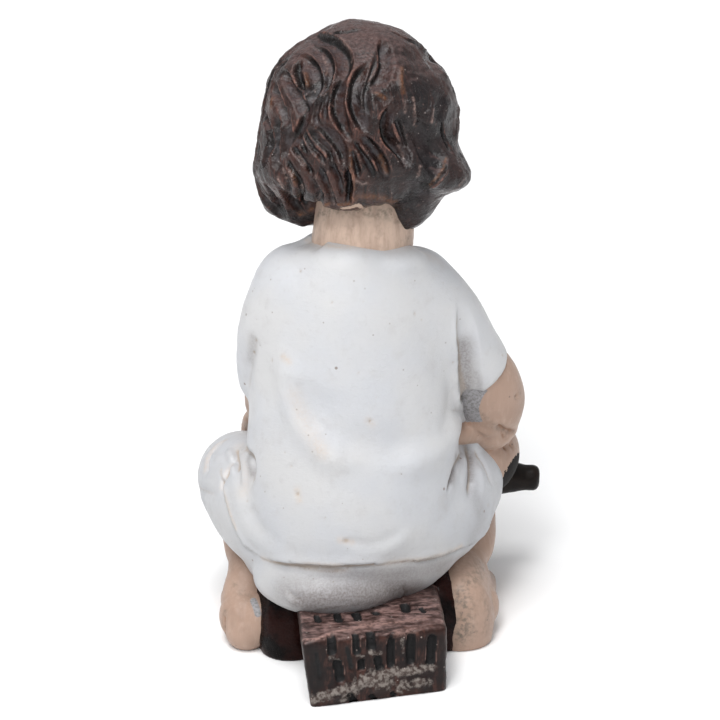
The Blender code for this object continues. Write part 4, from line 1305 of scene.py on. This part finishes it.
class Paint:
    """A material and short ways to add its nodes."""

    def __init__(self, name):
        self.material = bpy.data.materials.new(name)
        self.material.use_nodes = True
        self.tree = self.material.node_tree
        self.shader = self.tree.nodes["Principled BSDF"]
        self.where = self.node("ShaderNodeTexCoord").outputs["Object"]

    def node(self, kind, **settings):
        made = self.tree.nodes.new(kind)
        for key, value in settings.items():
            setattr(made, key, value)
        return made

    def put(self, socket, value):
        """Gives a socket a link, a colour or a number."""
        if isinstance(value, bpy.types.NodeSocket):
            self.tree.links.new(value, socket)
        else:
            socket.default_value = (*value, 1) if isinstance(value, tuple) else value

    def attribute(self, name, output="Fac"):
        return self.node("ShaderNodeAttribute", attribute_name=name).outputs[output]

    def stretched(self, x, y, z, where=None):
        made = self.node("ShaderNodeMapping")
        self.put(made.inputs["Vector"], where or self.where)
        made.inputs["Scale"].default_value = (x, y, z)
        return made.outputs["Vector"]

    def noise(self, waves, detail=3.0, where=None, rough=0.55, warp=0.0):
        """Noise with this many waves to the millimetre, or to the unit of another place."""
        made = self.node("ShaderNodeTexNoise")
        self.put(made.inputs["Vector"], where or self.where)
        made.inputs["Scale"].default_value = waves / MM if where is None else waves
        made.inputs["Detail"].default_value = detail
        made.inputs["Roughness"].default_value = rough
        made.inputs["Distortion"].default_value = warp
        return made.outputs["Fac"]

    def math(self, kind, a, b=0.0):
        made = self.node("ShaderNodeMath", operation=kind)
        for socket, value in zip(made.inputs, (a, b)):
            self.put(socket, value)
        return made.outputs[0]

    def times(self, a, b):
        return self.math("MULTIPLY", a, b)

    def plus(self, a, b):
        return self.math("ADD", a, b)

    def most(self, a, b):
        return self.math("MAXIMUM", a, b)

    def rest(self, share):
        return self.math("SUBTRACT", 1, share)

    def ragged(self, mask, grain, amount):
        """A mask whose border the grain moves to and fro."""
        return self.plus(mask, self.times(self.math("SUBTRACT", grain, 0.5), amount))

    def span(self, value, low, high, start=0.0, end=1.0):
        """Takes a value from one range smoothly to another."""
        made = self.node("ShaderNodeMapRange", interpolation_type="SMOOTHSTEP")
        for socket, number in zip(made.inputs, (value, low, high, start, end)):
            self.put(socket, number)
        return made.outputs[0]

    def mix(self, share, a, b):
        made = self.node("ShaderNodeMix", data_type="RGBA")
        self.put(made.inputs["Factor"], share)
        self.put(made.inputs[6], a)
        self.put(made.inputs[7], b)
        return made.outputs[2]

    def bump(self, height, strength, distance, normal=None):
        made = self.node("ShaderNodeBump")
        made.inputs["Strength"].default_value = strength
        made.inputs["Distance"].default_value = distance * MM
        self.put(made.inputs["Height"], height)
        if normal is not None:
            self.put(made.inputs["Normal"], normal)
        return made.outputs["Normal"]

    def finish(self, colour, roughness, normal, specular):
        self.put(self.shader.inputs["Base Color"], colour)
        self.put(self.shader.inputs["Roughness"], roughness)
        self.put(self.shader.inputs["Normal"], normal)
        self.shader.inputs["Specular IOR Level"].default_value = specular
        return self.material


def speckle(p, waves, size, amount, seed_shift):
    """A mask of scattered dots: cells of this many to the millimetre, of which only some hold a dot."""
    where = p.node("ShaderNodeVectorMath", operation="ADD")
    p.put(where.inputs[0], p.where)
    where.inputs[1].default_value = (seed_shift * MM, 0, 0)
    made = p.node("ShaderNodeTexVoronoi")
    p.put(made.inputs["Vector"], where.outputs[0])
    made.inputs["Scale"].default_value = waves / MM
    split = p.node("ShaderNodeSeparateColor")
    p.put(split.inputs[0], made.outputs["Color"])
    chosen = p.math("LESS_THAN", split.outputs[0], amount)
    dot = p.span(made.outputs["Distance"], size * 0.5, size, 1, 0)
    return p.times(chosen, dot)


def hair_paint():
    p = Paint("hair_paint")
    flow = p.attribute("flow", "Vector")
    strands = p.noise(1.0, 4, p.stretched(5.0, 0.9, 1, flow), 0.6, 0.4)
    top = p.span(p.attribute("crown"), 0.0, 0.8)
    patches = p.noise(0.20, 3)
    blotches = p.noise(0.45, 4)
    grain = p.noise(2.4, 4)
    lines = p.plus(p.times(strands, p.rest(top)), p.times(grain, top))
    hollow = p.attribute("hollow")
    cut = p.attribute("cut")
    shade = p.attribute("shade")
    glaze = p.attribute("glaze")
    slop = p.attribute("slop")
    crest = p.times(p.span(hollow, -1.9, -0.8, 1, 0), p.span(blotches, 0.42, 0.60, 0.0, 1))
    colour = p.mix(p.span(patches, 0.35, 0.68), (0.009, 0.006, 0.006), (0.042, 0.017, 0.013))
    colour = p.mix(p.times(shade, 0.85), colour, (0.010, 0.008, 0.009))
    rubbed = p.times(p.span(lines, 0.42, 0.70), p.span(blotches, 0.36, 0.66))
    rubbed = p.times(rubbed, p.span(cut, 0.0, 0.8, 1, 0.15))
    rubbed = p.times(rubbed, p.span(shade, 0, 1, 0.9, 0.25))
    colour = p.mix(rubbed, colour, (0.095, 0.040, 0.031))
    # Painted light: the top of the hair is painted lighter, in grain.
    crown = p.span(p.attribute("crown"), 0.0, 1.0, 0, 0.75)
    colour = p.mix(p.times(crown, p.span(grain, 0.30, 0.65, 0.35, 1)), colour, (0.125, 0.080, 0.075))
    colour = p.mix(p.times(crest, p.span(grain, 0.35, 0.62, 0.3, 1)), colour, (0.20, 0.095, 0.072))
    # Painted shade: near-black in the hollows between the locks and on the steep walls of the gouges.
    colour = p.mix(p.span(hollow, 0.15, 1.2), colour, (0.006, 0.005, 0.005))
    colour = p.mix(p.span(p.attribute("wall"), 0.30, 0.95, 0, 0.85), colour, (0.006, 0.005, 0.005))
    # Painted sheen: grey-blue on the floors of the cuts, away from their walls.
    sheen = p.times(p.span(cut, 0.35, 0.9), p.span(p.attribute("wall"), 0.15, 0.5, 1, 0))
    sheen = p.times(sheen, p.span(p.noise(0.8, 4), 0.40, 0.62, 0.0, 0.5))
    sheen = p.times(sheen, p.span(shade, 0, 1, 1, 0.15))
    colour = p.mix(sheen, colour, (0.068, 0.064, 0.070))
    # Painted highlight: a thin light line along the rim above each steep wall.
    rim = p.times(p.span(p.attribute("rim"), 0.50, 1.0), p.span(p.noise(0.6, 5), 0.49, 0.62))
    colour = p.mix(p.times(rim, 0.55), colour, (0.15, 0.08, 0.065))
    fleck = p.times(p.span(p.noise(1.5, 5), 0.60, 0.72), p.span(blotches, 0.45, 0.65, 0.1, 0.6))
    colour = p.mix(fleck, colour, (0.17, 0.10, 0.085))
    # Rubbed paint, and painted glints and highlights on the ridges.
    worn = p.times(p.attribute("rubbed"), p.span(grain, 0.36, 0.60, 0.1, 1))
    colour = p.mix(worn, colour, (0.34, 0.23, 0.20))
    colour = p.mix(p.times(glaze, p.span(grain, 0.35, 0.60, 0.35, 1)), colour, (0.19, 0.075, 0.030))
    dust = p.most(speckle(p, 1.1, 0.15, 0.22, 3), speckle(p, 0.5, 0.10, 0.3, 31))
    colour = p.mix(p.times(dust, 0.5), colour, (0.36, 0.30, 0.28))
    colour = p.mix(p.span(p.ragged(slop, grain, 1.2), 0.42, 0.56), colour, (0.44, 0.32, 0.25))
    roughness = p.span(blotches, 0.35, 0.65, 0.18, 0.40)
    normal = p.bump(lines, 0.35, 0.12)
    normal = p.bump(p.noise(1.2, 5), 0.60, 0.20, normal)
    normal = p.bump(grain, 0.70, 0.12, normal)
    return p.finish(colour, roughness, normal, 0.36)


def tunic_paint():
    p = Paint("tunic_paint")
    broad = p.noise(0.06, 3)
    cloudy = p.noise(0.35, 4)
    middling = p.noise(1.3, 5)
    grain = p.noise(3.0, 4)
    brushed = p.noise(1.0, 4, p.stretched(700, 700, 2600), 0.6)
    hollow = p.attribute("hollow")
    ochre = p.attribute("ochre")
    grime = p.attribute("grime")
    dots = p.attribute("dots")
    colour = p.mix(p.span(broad, 0.35, 0.65), (0.535, 0.545, 0.570), (0.568, 0.566, 0.568))
    colour = p.mix(p.span(cloudy, 0.5, 0.8, 0, 0.45), colour, (0.490, 0.480, 0.480))
    mottled = p.times(p.span(middling, 0.52, 0.72, 0, 0.30), p.span(cloudy, 0.40, 0.60, 0.3, 1))
    colour = p.mix(mottled, colour, (0.455, 0.450, 0.455))
    colour = p.mix(p.span(hollow, 0.25, 1.8, 0, 0.7), colour, (0.40, 0.32, 0.25))
    # Painted shade: the tunic is darker towards the bottom.
    colour = p.mix(p.span(p.attribute("height"), 12, 44, 0.16, 0), colour, (0.0, 0.0, 0.0))
    stained = p.times(ochre, p.span(grain, 0.40, 0.66, 0.30, 0.6))
    colour = p.mix(stained, colour, (0.58, 0.43, 0.30))
    # Dirt, and painted shade in the recess by the right sleeve, in the creases and along the timber.
    dirt_and_shade = p.times(grime, p.span(grain, 0.30, 0.70, 0.65, 1))
    colour = p.mix(dirt_and_shade, colour, (0.150, 0.125, 0.118))
    specks = p.times(speckle(p, 2.6, 0.26, 0.45, 9), p.times(grime, 0.8))
    specks = p.most(specks, speckle(p, 0.24, 0.075, 0.35, 5))
    specks = p.most(specks, p.times(speckle(p, 0.42, 0.075, 0.4, 23), 0.6))
    colour = p.mix(p.times(specks, 0.75), colour, (0.20, 0.15, 0.12))
    colour = p.mix(p.times(dots, 0.4), colour, (0.40, 0.32, 0.25))
    roughness = p.span(cloudy, 0.3, 0.7, 0.36, 0.52)
    pits = p.plus(grain, p.times(specks, -1.2))
    normal = p.bump(pits, 0.45, 0.07)
    normal = p.bump(middling, 0.40, 0.12, normal)
    normal = p.bump(brushed, 0.50, 0.07, normal)
    return p.finish(colour, roughness, normal, 0.45)


def skin_paint():
    p = Paint("skin_paint")
    broad = p.noise(0.10, 3)
    brushed = p.noise(1.0, 4, p.stretched(1500, 1500, 160), 0.6)
    grain = p.noise(1.9, 4)
    hollow = p.attribute("hollow")
    grime = p.attribute("grime")
    colour = p.mix(p.span(broad, 0.35, 0.65), (0.352, 0.240, 0.183), (0.410, 0.284, 0.221))
    colour = p.mix(p.span(brushed, 0.45, 0.75, 0, 0.35), colour, (0.50, 0.375, 0.305))
    # Painted light: the nape is painted lighter, in vertical brush streaks.
    nape = p.times(p.span(p.attribute("height"), 60, 66), p.rest(p.attribute("face")))
    lit_nape_streaks = p.times(nape, p.span(p.noise(1.0, 4, p.stretched(900, 900, 160), 0.6), 0.35, 0.65, 0.3, 0.72))
    colour = p.mix(lit_nape_streaks, colour, (0.72, 0.55, 0.44))
    colour = p.mix(p.span(p.noise(0.8, 5), 0.50, 0.70, 0, 0.35), colour, (0.33, 0.235, 0.185))
    colour = p.mix(p.span(hollow, 0.2, 1.5, 0, 0.8), colour, (0.30, 0.165, 0.10))
    # Dirt, and painted shade under the hair's hem, in creases and beside the left heel.
    dirt_and_shade = p.times(grime, p.span(p.noise(1.4, 6), 0.40, 0.68, 0.12, 0.85))
    colour = p.mix(dirt_and_shade, colour, (0.105, 0.098, 0.078))
    specks = p.most(speckle(p, 0.45, 0.10, 0.22, 7), p.times(speckle(p, 1.6, 0.28, 0.5, 27), grime))
    colour = p.mix(p.times(specks, 0.7), colour, (0.16, 0.12, 0.10))
    colour = face_paint(p, colour)
    # Cloth painted on the skin under the sleeve, in a darker grey as painted shade.
    shaded_cloth = p.mix(p.span(p.noise(2.4, 4), 0.35, 0.60), (0.19, 0.181, 0.181), (0.30, 0.293, 0.300))
    colour = p.mix(p.span(p.attribute("cloth"), 0.40, 0.60), colour, shaded_cloth)
    black = p.span(p.ragged(p.attribute("black"), grain, 1.3), 0.48, 0.56)
    colour = p.mix(black, colour, (0.008, 0.006, 0.006))
    roughness = p.most(p.span(grain, 0.3, 0.7, 0.36, 0.50), p.times(black, 0.8))
    normal = p.bump(grain, 0.45, 0.07)
    normal = p.bump(brushed, 0.35, 0.06, normal)
    return p.finish(colour, roughness, normal, 0.25)


def oval(p, x, z, middle_x, middle_z, half_x, half_z, soft=0.12):
    """A mask that is 1 inside an oval of the face."""
    dx = p.math("DIVIDE", p.math("SUBTRACT", x, middle_x), half_x)
    dz = p.math("DIVIDE", p.math("SUBTRACT", z, middle_z), half_z)
    reach = p.math("SQRT", p.plus(p.times(dx, dx), p.times(dz, dz)))
    return p.span(reach, 1 - soft, 1 + soft, 1, 0)


def face_paint(p, colour):
    """Plainly painted brows, eyes, cheeks and lips, the same on both sides."""
    split = p.node("ShaderNodeSeparateXYZ")
    p.put(split.inputs[0], p.attribute("head_place", "Vector"))
    x = p.math("ABSOLUTE", split.outputs[0])
    z = split.outputs[2]
    face = p.attribute("face")

    def lay(colour, mask, strength, tint):
        share = p.times(p.times(mask, face), strength)
        return p.mix(share, colour, tint)

    def crescent(outer, inner):
        return p.times(oval(p, x, z, *outer), p.rest(oval(p, x, z, *inner)))

    colour = lay(colour, oval(p, x, z, 5.4, -5.9, 3.0, 2.4, 0.8), 0.35, (0.66, 0.27, 0.20))
    colour = lay(colour, oval(p, x, z, 4.25, -2.15, 1.75, 0.85), 0.85, (0.74, 0.68, 0.62))
    colour = lay(colour, oval(p, x, z, 4.2, -2.3, 0.85, 0.85), 0.95, (0.06, 0.035, 0.025))
    lash = crescent((4.3, -2.0, 2.1, 1.15), (4.3, -2.35, 2.0, 1.1))
    colour = lay(colour, lash, 0.85, (0.07, 0.035, 0.025))
    brow = crescent((4.4, 0.0, 2.6, 1.9), (4.4, -0.5, 2.6, 1.9))
    colour = lay(colour, brow, 0.75, (0.12, 0.06, 0.04))
    return lay(colour, oval(p, x, z, 0.0, -8.3, 2.3, 1.25), 0.65, (0.50, 0.17, 0.13))


def timber_paint():
    p = Paint("timber_paint")
    broad = p.noise(0.16, 3)
    blotches = p.noise(0.5, 4)
    grain = p.noise(2.0, 4)
    fine = p.noise(3.2, 4)
    brushed = p.noise(1.0, 4, p.stretched(500, 1500, 1500), 0.6)
    hollow = p.attribute("hollow")
    cut = p.attribute("cut")
    worn = p.attribute("worn")
    colour = p.mix(p.span(broad, 0.35, 0.65), (0.011, 0.007, 0.007), (0.030, 0.013, 0.010))
    upright = p.noise(1.0, 4, p.stretched(1500, 1500, 420), 0.6)
    rubbed = p.times(p.span(upright, 0.44, 0.68), p.span(cut, 0, 0.5, 1, 0))
    rubbed = p.times(rubbed, p.span(blotches, 0.40, 0.62, 0.0, 1))
    colour = p.mix(p.times(rubbed, 0.50), colour, (0.105, 0.045, 0.034))
    colour = p.mix(p.times(p.attribute("shade"), 0.8), colour, (0.012, 0.010, 0.010))
    # Brush streaks, painted lighter on the top face as painted light from above.
    lit_top_streaks = p.times(p.span(brushed, 0.36, 0.66, 0.1, 1), p.span(p.noise(0.7, 4), 0.34, 0.62, 0.3, 1))
    colour = p.mix(p.times(p.attribute("top"), lit_top_streaks), colour, (0.270, 0.170, 0.155))
    crest = p.span(hollow, -2.0, -0.9, 1, 0)
    colour = p.mix(p.times(crest, p.span(blotches, 0.40, 0.6, 0.0, 0.6)), colour, (0.26, 0.15, 0.125))
    # Darker in the knife cuts.
    dark_in_cuts = p.mix(fine, (0.006, 0.006, 0.006), (0.024, 0.023, 0.024))
    colour = p.mix(p.span(cut, 0.15, 0.6), colour, dark_in_cuts)
    # Worn edges, with a painted highlight along them.
    edge = p.times(p.attribute("edge"), p.span(grain, 0.36, 0.60, 0.2, 1))
    colour = p.mix(edge, colour, (0.36, 0.22, 0.19))
    bare = p.span(p.ragged(worn, p.noise(0.8, 6), 2.2), 0.30, 0.95)
    bare = p.times(bare, p.span(worn, 0.05, 0.3))
    grey = p.mix(p.span(p.noise(1.6, 5), 0.38, 0.62), (0.070, 0.052, 0.046), (0.215, 0.187, 0.168))
    colour = p.mix(bare, colour, grey)
    dust = speckle(p, 0.8, 0.14, 0.3, 13)
    colour = p.mix(p.times(dust, 0.6), colour, (0.40, 0.33, 0.30))
    roughness = p.most(p.span(bare, 0, 1, 0.34, 0.85), p.span(cut, 0.2, 0.8, 0.3, 0.7))
    normal = p.bump(grain, 0.55, 0.12)
    normal = p.bump(upright, 0.30, 0.08, normal)
    normal = p.bump(p.times(bare, fine), 0.7, 0.25, normal)
    return p.finish(colour, roughness, normal, 0.18)


def filling_paint():
    p = Paint("filling_paint")
    broad = p.noise(0.25, 3)
    grain = p.noise(1.5, 4)
    colour = p.mix(p.span(broad, 0.4, 0.62), (0.003, 0.002, 0.002), (0.016, 0.005, 0.004))
    colour = p.mix(p.span(p.attribute("hollow"), -1.2, -0.2, 0.3, 0), colour, (0.06, 0.03, 0.027))
    colour = p.mix(p.times(speckle(p, 0.6, 0.14, 0.3, 17), 0.6), colour, (0.42, 0.38, 0.36))
    roughness = p.span(grain, 0.3, 0.7, 0.20, 0.38)
    return p.finish(colour, roughness, p.bump(grain, 0.5, 0.12), 0.08)


def tool_paint():
    p = Paint("tool_paint")
    broad = p.noise(0.25, 3)
    grain = p.noise(1.6, 4)
    colour = p.mix(p.span(broad, 0.4, 0.65), (0.006, 0.005, 0.005), (0.014, 0.010, 0.008))
    colour = p.mix(p.span(p.attribute("hollow"), -1.0, -0.1, 0.5, 0), colour, (0.06, 0.038, 0.03))
    colour = p.mix(p.times(speckle(p, 0.5, 0.12, 0.3, 19), 0.5), colour, (0.42, 0.38, 0.36))
    roughness = p.span(grain, 0.3, 0.7, 0.28, 0.45)
    return p.finish(colour, roughness, p.bump(grain, 0.45, 0.10), 0.12)


def dress(obj, material):
    obj.data.materials.clear()
    obj.data.materials.append(material)
    obj.data.shade_smooth()
    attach(obj, "root")
    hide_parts("figurine")


dress(make_hair(), hair_paint())
dress(make_tunic(), tunic_paint())
dress(make_skin(), skin_paint())
dress(make_timber(), timber_paint())
dress(make_filling(), filling_paint())
dress(make_mallet(), tool_paint())


# Floor, light and camera.


FLOOR_HALF_SIZE, FLOOR_LEVEL, FLOOR_WHITE = 3.0, -0.0001, 0.95


def make_floor():
    bm = bmesh.new()
    bmesh.ops.create_grid(bm, x_segments=1, y_segments=1, size=FLOOR_HALF_SIZE)
    floor = object_of("floor", bm)
    floor.location.z = FLOOR_LEVEL
    material = bpy.data.materials.new("floor_paper")
    material.use_nodes = True
    shader = material.node_tree.nodes["Principled BSDF"]
    shader.inputs["Base Color"].default_value = (FLOOR_WHITE, FLOOR_WHITE, FLOOR_WHITE, 1)
    shader.inputs["Roughness"].default_value = 0.9
    shader.inputs["Specular IOR Level"].default_value = 0.0
    floor.data.materials.append(material)


def add_light(name, place, target, size, power):
    data = bpy.data.lights.new(name, "AREA")
    data.shape = "SQUARE"
    data.size = size
    data.energy = power
    light = placed(name, data)
    light.location = place
    light.rotation_euler = (Vector(target) - Vector(place)).to_track_quat("-Z", "Y").to_euler()


def add_sun(name, azimuth, elevation, strength, angle):
    data = bpy.data.lights.new(name, "SUN")
    data.energy = strength
    data.angle = math.radians(angle)
    sun = placed(name, data)
    sun.rotation_mode = "QUATERNION"
    sun.rotation_quaternion = (-towards(azimuth, elevation)).to_track_quat("-Z", "Y")


def set_the_light():
    world = bpy.data.worlds.new("studio")
    world.use_nodes = True
    background = world.node_tree.nodes["Background"]
    background.inputs["Color"].default_value = (0.97, 0.98, 1.0, 1)
    background.inputs["Strength"].default_value = 0.46
    bpy.context.scene.world = world
    add_sun("key", -14, 38, 0.52, 30)
    add_sun("spark", -24, 50, 0.74, 12)
    add_sun("overhead", -36, 76, 1.16, 26)
    add_light("softbox", (-0.10, -0.16, 0.42), (0, 0, 0.08), 0.20, 0.5)
    settings = bpy.context.scene.view_settings
    settings.view_transform = "Standard"
    settings.look = "None"


def set_the_camera():
    data = bpy.data.cameras.new("camera")
    data.sensor_width = 36
    data.lens = FOCAL_PIXELS / VIEW * data.sensor_width
    data.clip_start, data.clip_end = 0.05, 10
    camera = placed("camera", data)
    camera.location = EYE * MM
    camera.rotation_mode = "QUATERNION"
    camera.rotation_quaternion = TURN
    bpy.context.scene.camera = camera


make_floor()
set_the_light()
set_the_camera()
